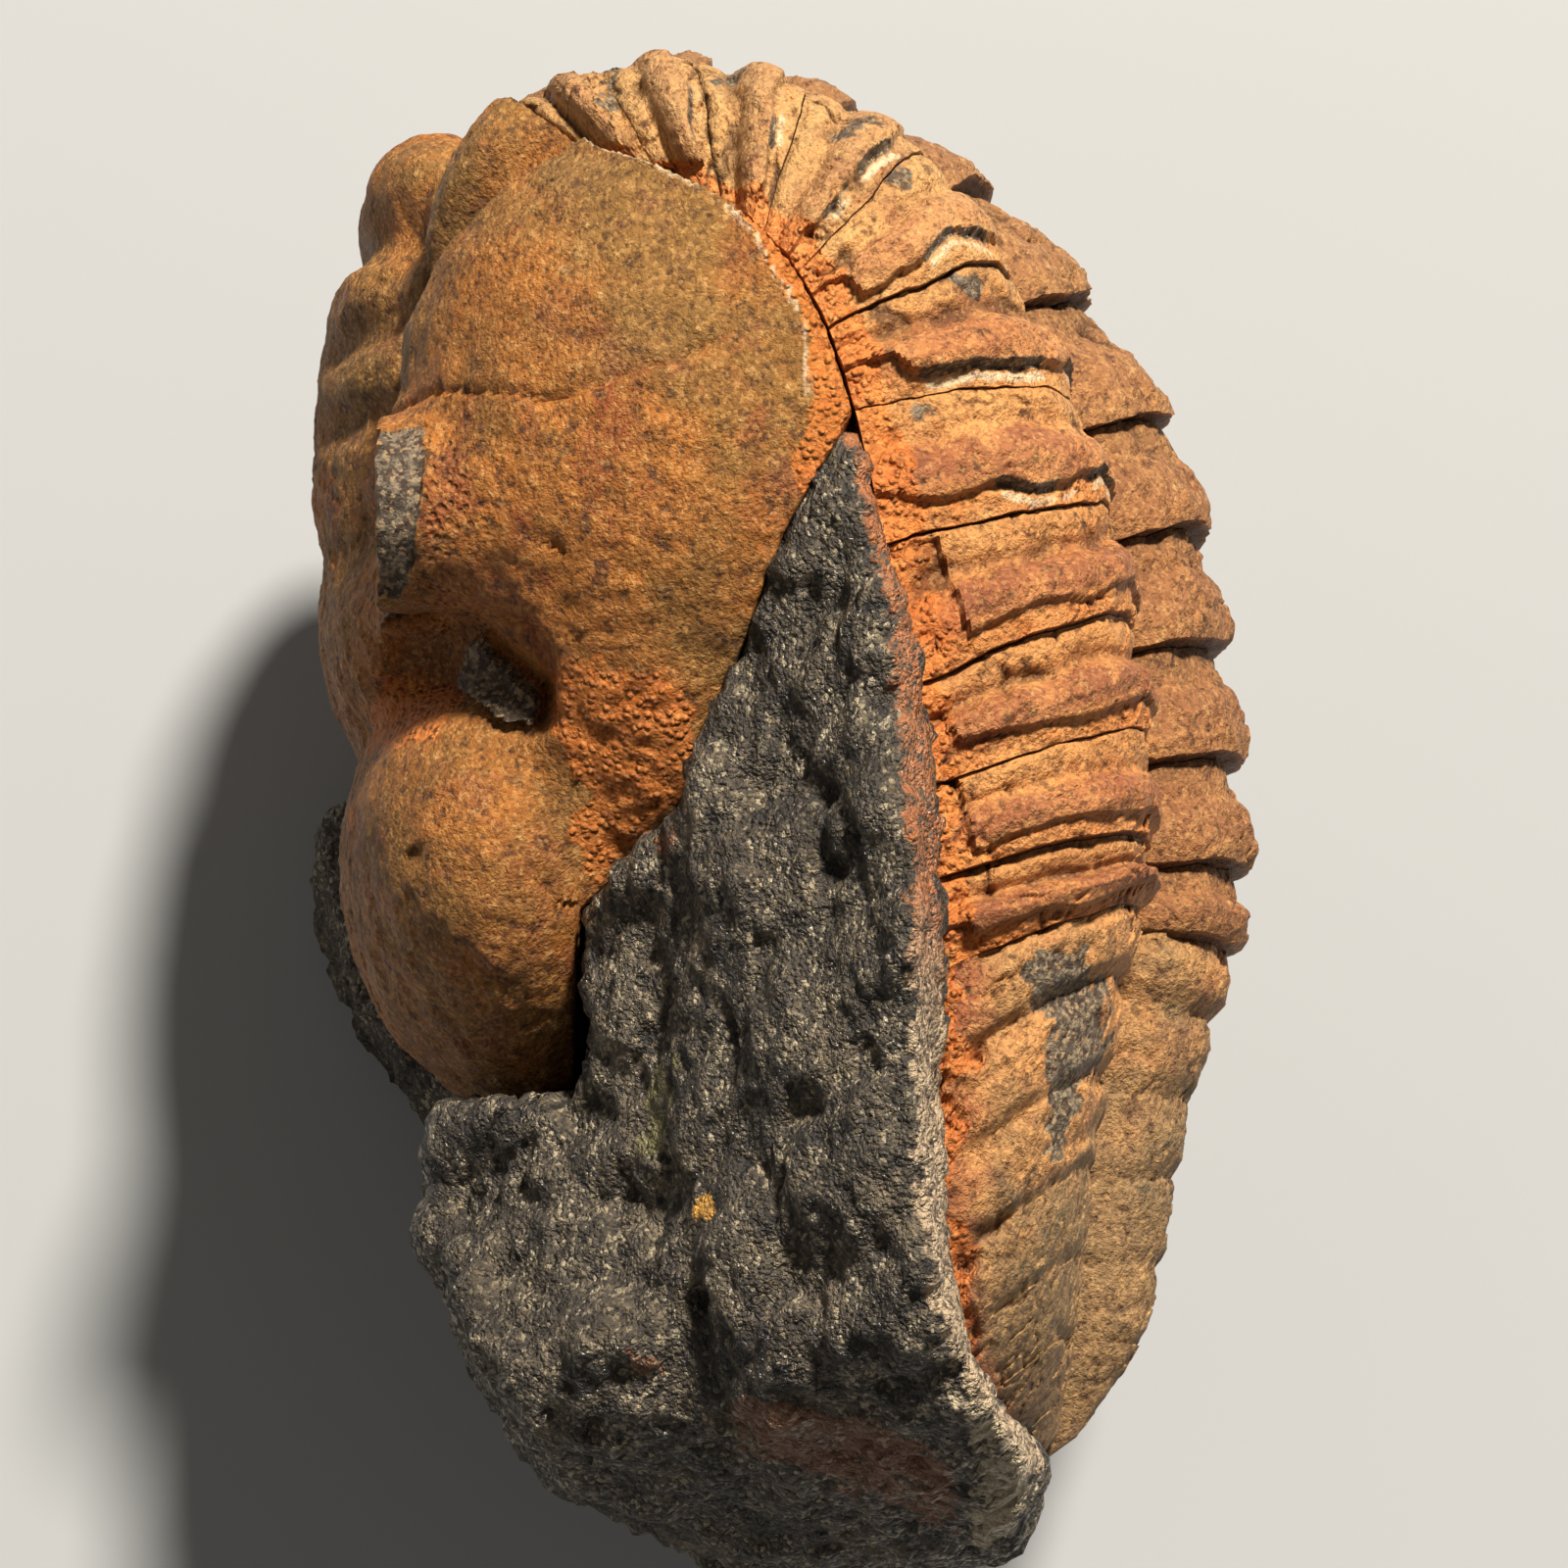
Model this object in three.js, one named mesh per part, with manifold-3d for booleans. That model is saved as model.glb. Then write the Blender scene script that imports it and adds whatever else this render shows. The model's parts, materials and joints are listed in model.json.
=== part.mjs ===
// A rolled-up trilobite fossil lying on its right flank, in millimetres, +Z up.
// X runs from the face of the animal to its back and Y from its lower end to the top of the arch.
// The animal is the same on both sides of its plane of symmetry, which lies flat at planeHeight.

import * as THREE from 'three';
import { mergeVertices } from 'three/addons/utils/BufferGeometryUtils.js';
import Module from 'manifold-3d';

// Driving sizes
const planeHeight = 17;
const gap = 0.3;
const rockClearance = 0.55;
const plateDepth = 2.6;
const segmentCount = 11;
const stationStep = 2;
const tailEnd = 17.9;
const crackWidth = 0.09;
const rockReachUnderTips = 2.5;
const clearOfAll = 9;

// The back of the animal, one point every two stations.
// A station is the rear edge of one thorax plate: 0 is the head's rear edge, 11 the last plate's.
const crestPoints = [
  [-9.1, 17.7], [-1.9, 19.6], [5.5, 16.2], [10.4, 9.9], [11.9, 3.7],
  [12.4, -2.3], [11.5, -6.3], [10.4, -10.3], [9.5, -14.6], [7.6, -17.6],
].map(([x, y]) => [x, y, 0]);

// The bend where each plate turns down from the back to the flank
const fulcrumPoints = [
  [-7.2, 16.6, 8.6], [-2.4, 17.2, 10.6], [3.6, 14.7, 10.8], [7.5, 8.5, 10.0], [9.0, 2.9, 9.2],
  [9.5, -2.7, 8.5], [8.8, -6.0, 7.6], [8.0, -10.6, 5.8], [7.5, -14.7, 3.6], [7.1, -17.7, 0.9],
];

// The free ends of the plates on the belly side
const tipPoints = [
  [-4.8, 14.3, 11.4], [-1.6, 12.7, 13.8], [0.4, 10.6, 14.8], [1.8, 7.1, 14.6], [3.1, 0.2, 14.0],
  [3.5, -4.7, 13.2], [3.6, -9.3, 12.0], [3.8, -14.0, 10.6], [4.7, -17.0, 7.6], [6.3, -18.6, 1.4],
];

// The cheek's free edge against the rock, from the rear corner of the cheek to the front of the head
const cheekMargin = [
  [1.35, 6.3], [0.0, 4.06], [-0.74, 2.24], [-1.99, -0.92], [-2.5, -2.4], [-4.0, -3.4],
  [-5.25, -4.6], [-5.2, -6.1], [-4.7, -8.5], [-5.6, -9.4],
];
const aroundTheFace = [[-9.3, -9.3], [-15, -6], [-16, 5], [-15, 15], [-11.5, 20]];

// Rounded masses of the head: centre, half sizes, lean in degrees about Z, how softly it flows into
// the others, and how square it is (2 is an ellipsoid). One on the plane of symmetry is single,
// any other is mirrored.
const headMasses = [
  { name: 'glabella', at: [-9.8, 9.6, 0], half: [2.75, 7.2, 5.9], lean: -3, flow: 0.8, square: 2 },
  { name: 'occipital ring', at: [-9.2, 15.2, 0], half: [2.15, 2.1, 5.7], lean: -42, flow: 0.5, square: 2 },
  { name: 'neck of the lobe', at: [-9.2, 3.4, 0], half: [3.1, 3.6, 6.8], lean: 6, flow: 1, square: 2 },
  { name: 'frontal lobe', at: [-7.5, -2.9, 0], half: [4.2, 5.8, 9.6], lean: 12, flow: 0.6, square: 2 },
  { name: 'cheek', at: [-1.2, 8.6, 5], half: [9.0, 9.2, 10.3], lean: 0, flow: 1.2, square: 2.4 },
  { name: 'front of the cheek', at: [-3.4, 2.0, 4], half: [4.6, 6.4, 7.6], lean: 8, flow: 2.4, square: 2 },
  { name: 'rear border', at: [-7.2, 14.6, 5.4], half: [1.7, 3.5, 5.6], lean: -30, flow: 0.4, square: 2.2 },
];

// Furrows of the head, each a line of points with a width and depth, mirrored to the other side
const headFurrows = [
  { name: 'occipital', radius: 0.5, line: [[-11.9, 14.1, -0.1], [-11.3, 13.9, 3.5], [-9.6, 13.5, 6.2]] },
  { name: 'first lateral', radius: 0.5, line: [[-12.5, 11.1, 2.6], [-10.4, 11.4, 6.0]] },
  { name: 'second lateral', radius: 0.5, line: [[-12.7, 8.9, 2.9], [-10.4, 8.8, 6.4]] },
  { name: 'third lateral', radius: 0.45, line: [[-12.5, 5.2, 3.4], [-10.2, 6.0, 7.0]] },
  {
    name: 'beside the axis',
    radius: 0.75,
    line: [[-7.9, 15.9, 7.0], [-9.4, 13.0, 7.2], [-9.9, 10.0, 7.2], [-10.0, 7.0, 7.6], [-9.3, 2.4, 8.2],
      [-7.6, 1.6, 9.0], [-6.4, 0.6, 9.8]],
  },
  { name: 'rear border', radius: 0.7, line: [[-9.7, 11.6, 8.6], [-7.7, 13.5, 10.9], [-5.2, 15.3, 12.2]] },
  { name: 'below the eye', radius: 1.1, line: [[-10.2, 1.6, 8.6], [-8.4, 1.7, 9.8], [-6.9, 1.5, 10.6]] },
];
const furrowFlow = 0.6;

// The eye is a short drum whose axis points from the cheek to the back
const eye = {
  foot: -4.0, top: -10.4, y: 5.4, z: 8.4, halfLength: 2.8, halfHeight: 4.4, taper: 0.94, flow: 1,
};

// Rays that find the head's skin start from its middle
const headMiddle = [-4.5, 5.0, 0];
const headRows = 40;
const headColumns = 54;
const rayStretch = { y: 1.15, z: 1.25 };
const skinSearch = { start: 24, steps: 90, step: 0.7, near: 0.004 };
const headRestsAbove = 0.6;
const roomRows = 20;
const roomColumns = 28;

// The rock that shows between head and tail, seen from the flank
const rockLowerEdge = [
  [5.95, -18.9], [5.7, -20.1], [4.0, -20.5], [1.3, -20.5], [-1.0, -20.4], [-2.6, -19.7],
  [-5.6, -18.7], [-6.4, -17.6], [-7.8, -15.5], [-8.3, -13.8], [-9.1, -12.5], [-8.9, -11.2],
  [-8.8, -9.6], [-7.0, -4.0], [-4.0, 2.0], [-1.5, 6.5], [0.9, 7.0],
];
const ridge = [[7, 14.6], [3, 16.4], [-5, 17.4], [-12, 16.8], [-16, 15.4], [-18.5, 12.4], [-20.6, 3.0]];
const rockSlope = 0.95;

// Beyond this crease the face drops by a step, except on the shoulder beside the cheek
const crease = [[8, -1.2], [0.7, -1.4], [-4.4, -2.4], [-7.4, -1.9], [-12.5, -1.3], [-17.5, -0.6], [-21, 0]];
const creaseDrop = 1.3;
const shoulder = { x: -3.7, y: -3.7, rise: 1.5, width: 1.7, length: 1.3 };
const rockBox = { left: -15, right: 9, bottom: -23, top: 9, cell: 1.0 };

// A lump of rock that stays on the hidden flank in front of the cheek
const hiddenLump = [
  [-4.0, 3.0], [-9.5, 2.6], [-12.6, 1.2], [-13.0, -0.4], [-12.3, -3.0], [-9.4, -7.6], [-8.6, -10.5],
  [-4.0, -9.0],
];
const hiddenLumpTop = -9.8;

// Flat breaks on the hidden half of the rock, each with a point on it and the way it faces
const rockBreaks = [
  { at: [0, -20.5, -4], facing: [0.1, -0.9, -0.42] },
  { at: [-5.6, -18.7, -3], facing: [-0.55, -0.65, -0.5] },
  { at: [-8.6, -12.5, -4], facing: [-0.88, -0.2, -0.42] },
  { at: [4.6, -17, -9], facing: [0.6, -0.5, -0.62] },
];
const lumpBreaks = [
  { at: [-12.3, -1.5, -12.6], facing: [-0.75, -0.1, 0.65] },
  { at: [-11.2, 1.6, -11.6], facing: [-0.3, 0.6, 0.74] },
  { at: [-11.4, -5.4, -12.2], facing: [-0.6, -0.5, 0.62] },
];

const colours = { shell: 0xb8743a, thorax: 0xc08a50, tail: 0xab7342, rock: 0x4f4840 };

const solids = await Module();
solids.setup();

// Curves along the body

function bodyLine(points) {
  const curve = new THREE.CatmullRomCurve3(points.map(([x, y, z]) => new THREE.Vector3(x, y, z)));
  curve.curveType = 'catmullrom';
  curve.tension = 0.5;
  const lastStation = stationStep * (points.length - 1);
  return (station) => curve.getPoint(THREE.MathUtils.clamp(station / lastStation, 0, 1));
}

const crestAt = bodyLine(crestPoints);
const fulcrumAt = bodyLine(fulcrumPoints);
const tipAt = bodyLine(tipPoints);

// Cross-section of the back: the ring on the axis, the flat inner side rib and the flank that
// turns down at the fulcrum. along is 0 on the axis and 10 at the free end.
const axisShare = 0.44;
const furrowIn = 1.08;
const furrowOut = 1.12;
const ribIn = 0.97;
const ringSteps = [0, 30, 60, 84].map(THREE.MathUtils.degToRad);
const flankSteps = [0, 24, 48, 70, 90].map(THREE.MathUtils.degToRad);

function halfSection(station) {
  const crest = crestAt(station);
  const fulcrum = fulcrumAt(station);
  const tip = tipAt(station);
  const axisHalf = axisShare * fulcrum.z;
  const inward = new THREE.Vector3(fulcrum.x - crest.x, fulcrum.y - crest.y, 0);
  const down = new THREE.Vector3(tip.x - fulcrum.x, tip.y - fulcrum.y, 0);
  const points = ringSteps.map((angle) => {
    const point = crest.clone().addScaledVector(inward, 1 - Math.cos(angle));
    point.z = axisHalf * Math.sin(angle);
    return point;
  });
  const furrow = crest.clone().addScaledVector(inward, furrowIn);
  furrow.z = axisHalf * furrowOut;
  const rib = crest.clone().addScaledVector(inward, ribIn);
  rib.z = (axisHalf + fulcrum.z) / 2;
  points.push(furrow, rib);
  flankSteps.forEach((angle) => {
    const point = fulcrum.clone().addScaledVector(down, 1 - Math.cos(angle));
    point.z = fulcrum.z + (tip.z - fulcrum.z) * Math.sin(angle);
    points.push(point);
  });
  return points;
}

// Moves a point of the back towards or away from the belly line of its station
const leastReach = 0.4;

function shifted(point, station, outward) {
  const tip = tipAt(station);
  const away = point.clone().sub(new THREE.Vector3(tip.x, tip.y, 0));
  const distance = away.length();
  const reach = Math.max(distance + outward, leastReach * distance);
  return new THREE.Vector3(tip.x, tip.y, 0).addScaledVector(away.normalize(), reach);
}

const ringColumns = 4;
const furrowColumn = 4;
const lastColumn = 10;

// One row of points across the whole back, from the right free end over the crest to the left one.
// relief gives the height of the ring and of the side rib above the plain section.
function fullRow(station, relief) {
  const half = halfSection(station).map((point, column) => {
    let height = relief.rib;
    if (column < ringColumns) height = relief.ring;
    if (column === furrowColumn) height = (relief.ring + relief.rib) / 2 - 0.2;
    if (column === lastColumn) height = relief.rib / 2;
    return shifted(point, station, height);
  });
  const right = half.slice(1).reverse().map((point) => new THREE.Vector3(point.x, point.y, -point.z));
  return [...right, ...half];
}

function depthRow(station, depth) {
  return fullRow(station, { ring: -depth, rib: -depth });
}

// Closed meshes

function meshFromTriangles(corners) {
  const geometry = new THREE.BufferGeometry();
  const numbers = corners.flatMap((corner) => [corner.x, corner.y, corner.z]);
  geometry.setAttribute('position', new THREE.Float32BufferAttribute(numbers, 3));
  return geometry;
}

function signedVolume(corners) {
  let volume = 0;
  for (let i = 0; i < corners.length; i += 3) {
    volume += corners[i].dot(corners[i + 1].clone().cross(corners[i + 2])) / 6;
  }
  return volume;
}

function facingOut(corners) {
  if (signedVolume(corners) > 0) return corners;
  const turned = [];
  for (let i = 0; i < corners.length; i += 3) turned.push(corners[i], corners[i + 2], corners[i + 1]);
  return turned;
}

function strip(corners, first, second) {
  for (let j = 0; j + 1 < first.length; j += 1) {
    corners.push(first[j], second[j], second[j + 1], first[j], second[j + 1], first[j + 1]);
  }
}

// A bent plate: many rows on its outside, and only its first and last row on its inside
function plateGeometry(outerRows, innerFirst, innerLast) {
  const corners = [];
  for (let i = 0; i + 1 < outerRows.length; i += 1) strip(corners, outerRows[i], outerRows[i + 1]);
  const outerLast = outerRows[outerRows.length - 1];
  strip(corners, outerLast, innerLast);
  strip(corners, innerLast, innerFirst);
  strip(corners, innerFirst, outerRows[0]);
  [0, innerFirst.length - 1].forEach((side) => {
    const rim = [...outerRows.map((row) => row[side]), innerLast[side]];
    for (let i = 0; i + 1 < rim.length; i += 1) {
      const pair = side === 0 ? [rim[i + 1], rim[i]] : [rim[i], rim[i + 1]];
      corners.push(innerFirst[side], ...pair);
    }
  });
  return meshFromTriangles(facingOut(corners));
}

// Thorax plates: a low front part, an oblique furrow, a raised rear band and a sharp rear ledge
const plateRows = [
  { part: 0, ring: -0.6, rib: -0.4 },
  { part: 0.2, ring: -0.5, rib: -0.15 },
  { part: 0.34, ring: -0.4, rib: -0.5 },
  { part: 0.52, ring: -0.05, rib: 0.12 },
  { part: 0.78, ring: 0.1, rib: 0.2 },
  { part: 1, ring: 0, rib: -0.2 },
];

function thoraxPlate(number) {
  const start = number - 1 + crackWidth;
  const stationOf = (part) => THREE.MathUtils.lerp(start, number, part);
  const outer = plateRows.map((row) => fullRow(stationOf(row.part), row));
  return plateGeometry(outer, depthRow(start, plateDepth), depthRow(number, plateDepth));
}

// Tail shield: the ribs of five fused segments that fade towards the end
const tailRibs = 5;
const tailRibLength = 1.05;
const tailSmoothStation = 17.2;
const tailInnerStep = 1.1;
const tailRows = [
  { part: 0, ring: -0.35, rib: -0.5 },
  { part: 0.3, ring: -0.1, rib: 0 },
  { part: 0.5, ring: 0.05, rib: 0.1 },
  { part: 0.75, ring: 0.05, rib: 0.1 },
];

function tailShield() {
  const start = segmentCount + crackWidth;
  const outer = [];
  for (let ribNumber = 0; ribNumber < tailRibs; ribNumber += 1) {
    const strength = 1 - ribNumber / (tailRibs + 1);
    tailRows.forEach((row) => {
      const station = start + (ribNumber + row.part) * tailRibLength;
      outer.push(fullRow(station, { ring: row.ring * strength, rib: row.rib * strength }));
    });
  }
  const smooth = { ring: 0, rib: 0 };
  outer.push(fullRow(start + tailRibs * tailRibLength, smooth), fullRow(tailSmoothStation, smooth));
  outer.push(fullRow(tailEnd, smooth));
  const inner = [];
  for (let station = start; station < tailEnd; station += tailInnerStep) {
    inner.push(depthRow(station, plateDepth));
  }
  inner.push(depthRow(tailEnd, plateDepth));
  const corners = [];
  for (let i = 0; i + 1 < outer.length; i += 1) strip(corners, outer[i], outer[i + 1]);
  for (let i = inner.length - 1; i > 0; i -= 1) strip(corners, inner[i], inner[i - 1]);
  strip(corners, outer[outer.length - 1], inner[inner.length - 1]);
  strip(corners, inner[0], outer[0]);
  [0, inner[0].length - 1].forEach((side) => closeSide(corners, outer, inner, side));
  return meshFromTriangles(facingOut(corners));
}

// Joins the free edge of a plate's outside to that of its inside, which has fewer rows
function closeSide(corners, outer, inner, side) {
  let o = 0;
  let i = 0;
  while (o + 1 < outer.length || i + 1 < inner.length) {
    const outerShare = (o + 1) / (outer.length - 1);
    const innerShare = (i + 1) / (inner.length - 1);
    const onOuter = i + 1 >= inner.length || (o + 1 < outer.length && outerShare <= innerShare);
    const next = onOuter ? outer[o + 1][side] : inner[i + 1][side];
    const triangle = [outer[o][side], next, inner[i][side]];
    if (side === 0) triangle.reverse();
    corners.push(...triangle);
    if (onOuter) o += 1;
    else i += 1;
  }
}

// Solids for cutting and joining

function toSolid(geometry) {
  const bare = geometry.clone();
  bare.deleteAttribute('normal');
  bare.deleteAttribute('uv');
  const merged = mergeVertices(bare, 1e-4);
  return new solids.Manifold(new solids.Mesh({
    numProp: 3,
    vertProperties: new Float32Array(merged.attributes.position.array),
    triVerts: new Uint32Array(merged.index.array),
  }));
}

function toGeometry(solid) {
  const mesh = solid.getMesh();
  const geometry = new THREE.BufferGeometry();
  geometry.setAttribute('position', new THREE.Float32BufferAttribute(mesh.vertProperties, 3));
  geometry.setIndex(Array.from(mesh.triVerts));
  return geometry.toNonIndexed();
}

function prism(outline, low, high) {
  const shape = new THREE.Shape(outline.map(([x, y]) => new THREE.Vector2(x, y)));
  const geometry = new THREE.ExtrudeGeometry(shape, { depth: high - low, bevelEnabled: false });
  return toSolid(geometry.translate(0, 0, low));
}

function joined(list) {
  return list.reduce((whole, piece) => whole.add(piece));
}

// Head: its skin is found by rays that run inwards until they meet the joined masses

function ellipsoidDistance(x, y, z, mass) {
  const lean = THREE.MathUtils.degToRad(mass.lean);
  const side = mass.at[2] === 0 ? z : Math.abs(z) - mass.at[2];
  const dx = x - mass.at[0];
  const dy = y - mass.at[1];
  const u = (dx * Math.cos(lean) + dy * Math.sin(lean)) / mass.half[0];
  const v = (dy * Math.cos(lean) - dx * Math.sin(lean)) / mass.half[1];
  const w = side / mass.half[2];
  const inside = (Math.abs(u) ** mass.square + Math.abs(v) ** mass.square + Math.abs(w) ** mass.square)
    ** (1 / mass.square);
  if (inside < 1e-6) return -mass.half[0];
  const slopes = [u, v, w].map((share, i) => (Math.abs(share) / inside) ** (mass.square - 1) / mass.half[i]);
  return (inside - 1) / Math.hypot(...slopes);
}

function eyeDistance(x, y, z) {
  const share = THREE.MathUtils.clamp((x - eye.foot) / (eye.top - eye.foot), 0, 1);
  const size = THREE.MathUtils.lerp(1, eye.taper, share);
  const spread = Math.hypot((y - eye.y) / eye.halfLength, (Math.abs(z) - eye.z) / eye.halfHeight);
  const across = (spread - size) * eye.halfLength;
  return Math.max(across, eye.top - x, x - eye.foot);
}

function lineDistance(x, y, z, line) {
  const point = new THREE.Vector3(x, y, Math.abs(z));
  const nearest = new THREE.Vector3();
  let distance = Infinity;
  for (let i = 0; i + 1 < line.length; i += 1) {
    const piece = new THREE.Line3(new THREE.Vector3(...line[i]), new THREE.Vector3(...line[i + 1]));
    piece.closestPointToPoint(point, true, nearest);
    distance = Math.min(distance, nearest.distanceTo(point));
  }
  return distance;
}

function softLower(a, b, flow) {
  const share = Math.max(flow - Math.abs(a - b), 0) / flow;
  return Math.min(a, b) - (share * share * flow) / 4;
}

function headDistance(x, y, z) {
  let distance = Infinity;
  headMasses.forEach((mass) => {
    distance = softLower(distance, ellipsoidDistance(x, y, z, mass), mass.flow);
  });
  distance = softLower(distance, eyeDistance(x, y, z), eye.flow);
  headFurrows.forEach((furrow) => {
    const hollow = furrow.radius - lineDistance(x, y, z, furrow.line);
    distance = -softLower(-distance, -hollow, furrowFlow);
  });
  return distance;
}

function headSkinPoint(direction, extra) {
  let reach = skinSearch.start;
  const [x, y, z] = headMiddle;
  for (let step = 0; step < skinSearch.steps; step += 1) {
    const distance = headDistance(
      x + direction.x * reach, y + direction.y * reach, z + direction.z * reach) - extra;
    if (distance < skinSearch.near) break;
    reach -= skinSearch.step * distance;
  }
  return new THREE.Vector3(x, y, z).addScaledVector(direction, reach);
}

// Rows run from the front of the head to its rear edge, columns run round it
function headSolid(rows, columns, extra) {
  const corners = [];
  const grid = [];
  for (let i = 0; i <= rows; i += 1) {
    const polar = (Math.PI * i) / rows;
    const row = [];
    for (let j = 0; j <= columns; j += 1) {
      const turn = (2 * Math.PI * (j % columns)) / columns;
      const width = i === 0 || i === rows ? 0 : Math.sin(polar);
      const direction = new THREE.Vector3(
        -width * Math.cos(turn), -Math.cos(polar) * rayStretch.y, width * Math.sin(turn) * rayStretch.z);
      row.push(headSkinPoint(direction.normalize(), extra));
    }
    grid.push(row);
  }
  for (let i = 0; i < rows; i += 1) {
    for (let j = 0; j < columns; j += 1) {
      const [a, b] = [grid[i][j], grid[i][j + 1]];
      const [c, d] = [grid[i + 1][j], grid[i + 1][j + 1]];
      if (i + 1 < rows) corners.push(a, c, d);
      if (i > 0) corners.push(a, d, b);
    }
  }
  return toSolid(meshFromTriangles(facingOut(corners)));
}

// The head's rear edge keeps clear of the first plate's ring and reaches beyond its crest
const rearRoom = new THREE.Vector3(-0.3, -0.08, 0);
const beyondRing = 1.2;
const besideHeadStations = 6;
const roomTurns = 6;

// The head's outline seen from the flank, its rear edge along the first plates
function headOutline() {
  const crest = crestAt(0).add(rearRoom);
  const fulcrum = fulcrumAt(0).add(rearRoom);
  const beyondCrest = crest.clone().add(crest.clone().sub(fulcrum).setZ(0).multiplyScalar(beyondRing));
  const rear = [beyondCrest, crest, fulcrum];
  for (let station = 0; station <= besideHeadStations; station += 1) {
    const tip = tipAt(station);
    const under = tip.clone().sub(fulcrumAt(station)).setZ(0).normalize();
    rear.push(tip.addScaledVector(under, gap));
  }
  return [...rear.map((point) => [point.x, point.y]), ...cheekMargin, ...aroundTheFace];
}

function cutHead() {
  const whole = headSolid(headRows, headColumns, 0);
  return whole.intersect(prism(headOutline(), -planeHeight + headRestsAbove, planeHeight + clearOfAll));
}

// The head's outline wider by the gap all round, which the rock leaves free
function headRoom() {
  const grown = [];
  for (let turn = 0; turn < roomTurns; turn += 1) {
    const angle = (2 * Math.PI * turn) / roomTurns;
    const outline = headOutline().map(([x, y]) => (
      [x + gap * Math.cos(angle), y + gap * Math.sin(angle)]));
    grown.push(prism(outline, -planeHeight - gap, planeHeight + clearOfAll));
  }
  return joined(grown);
}

// Rock

// Value at a given y on a line of [y, value] points that runs downwards
function alongLine(line, y) {
  if (y >= line[0][0]) return line[0][1];
  for (let i = 0; i + 1 < line.length; i += 1) {
    const [highY, high] = line[i];
    const [lowY, low] = line[i + 1];
    if (y >= lowY) return THREE.MathUtils.mapLinear(y, highY, lowY, high, low);
  }
  return line[line.length - 1][1];
}

function tipX(y) {
  for (let station = 4; station < 18; station += 0.25) {
    if (tipAt(station).y < y) return tipAt(station).x;
  }
  return tipAt(18).x;
}

// Height of the broken rock face: a ridge beside the free ends, falling away to the face.
// It flattens towards the lower end, has low waves and one scoop.
const flattening = { from: -22, length: 10, least: 0.45 };
const rockWaves = [
  { height: 0.35, x: 1.7, y: 0.6, start: 0 },
  { height: 0.3, x: 0.9, y: -1.5, start: 1 },
];
const scoop = { x: 0.9, y: -0.5, depth: 0.9, width: 1.1, length: 2.4 };

function roundSpot(x, y, { x: middleX, y: middleY, width, length }) {
  return Math.exp(-(((x - middleX) / width) ** 2) - ((y - middleY) / length) ** 2);
}

function rockHeight(x, y) {
  const fromRidge = Math.max(tipX(y) - x, 0);
  const fade = THREE.MathUtils.clamp((y - flattening.from) / flattening.length, flattening.least, 1);
  const waves = rockWaves.reduce((sum, wave) => (
    sum + wave.height * Math.sin(wave.x * x + wave.y * y + wave.start)), 0);
  const beyond = THREE.MathUtils.smoothstep(alongLine(crease, y) - x, 0, 1);
  const plain = alongLine(ridge, y) - rockSlope * fade * fromRidge;
  const spots = shoulder.rise * roundSpot(x, y, shoulder) - scoop.depth * roundSpot(x, y, scoop);
  return plain - creaseDrop * beyond * fade + waves + spots;
}

function rockFace() {
  const { left, right, bottom, top, cell } = rockBox;
  const corners = [];
  const floor = -planeHeight;
  const surface = (x, y) => new THREE.Vector3(x, y, Math.max(rockHeight(x, y), floor + 1));
  const base = (x, y) => new THREE.Vector3(x, y, floor);
  const rows = Math.round((top - bottom) / cell);
  const columns = Math.round((right - left) / cell);
  const xAt = (i) => left + i * cell;
  const yAt = (j) => bottom + j * cell;
  const line = (make, j) => Array.from({ length: columns + 1 }, (_, i) => make(xAt(i), yAt(j)));
  for (let j = 0; j < rows; j += 1) {
    strip(corners, line(surface, j), line(surface, j + 1));
    strip(corners, line(base, j + 1), line(base, j));
  }
  strip(corners, line(base, 0), line(surface, 0));
  strip(corners, line(surface, rows), line(base, rows));
  [0, columns].forEach((i) => {
    const up = Array.from({ length: rows + 1 }, (_, j) => surface(xAt(i), yAt(j)));
    const low = Array.from({ length: rows + 1 }, (_, j) => base(xAt(i), yAt(j)));
    if (i === 0) strip(corners, up, low);
    else strip(corners, low, up);
  });
  return toSolid(meshFromTriangles(facingOut(corners)));
}

// The rock inside the arch of plates, closed on the belly side
const archStations = { first: 0.2, last: 16.6, step: 1.05 };

function rockInsideArch() {
  const stations = [];
  const { first: firstStation, last: lastStation, step } = archStations;
  for (let station = firstStation; station < lastStation; station += step) stations.push(station);
  const loops = stations.map((station) => {
    const arch = depthRow(station, plateDepth + rockClearance);
    const tip = tipAt(station);
    const under = tip.clone().sub(fulcrumAt(station)).setZ(0).normalize();
    const shift = under.multiplyScalar(rockReachUnderTips);
    const first = arch[0].clone().add(shift);
    const last = arch[arch.length - 1].clone().add(shift);
    return [...arch, last, first, arch[0]];
  });
  const corners = [];
  for (let i = 0; i + 1 < loops.length; i += 1) strip(corners, loops[i], loops[i + 1]);
  [loops[0], loops[loops.length - 1]].forEach((loop, end) => {
    const ring = loop.slice(0, -1);
    const middle = ring.reduce((sum, point) => sum.add(point), new THREE.Vector3())
      .divideScalar(ring.length);
    ring.forEach((point, index) => {
      const next = ring[(index + 1) % ring.length];
      corners.push(...(end === 0 ? [middle, point, next] : [middle, next, point]));
    });
  });
  return toSolid(meshFromTriangles(facingOut(corners)));
}

const besideTips = { first: 5.6, last: 17.2, step: 0.8, clearance: 0.4 };

function rockOutline() {
  const beside = [];
  for (let station = besideTips.first; station <= besideTips.last; station += besideTips.step) {
    const tip = tipAt(station);
    beside.push([tip.x - besideTips.clearance, tip.y]);
  }
  return [...beside, ...rockLowerEdge];
}

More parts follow.
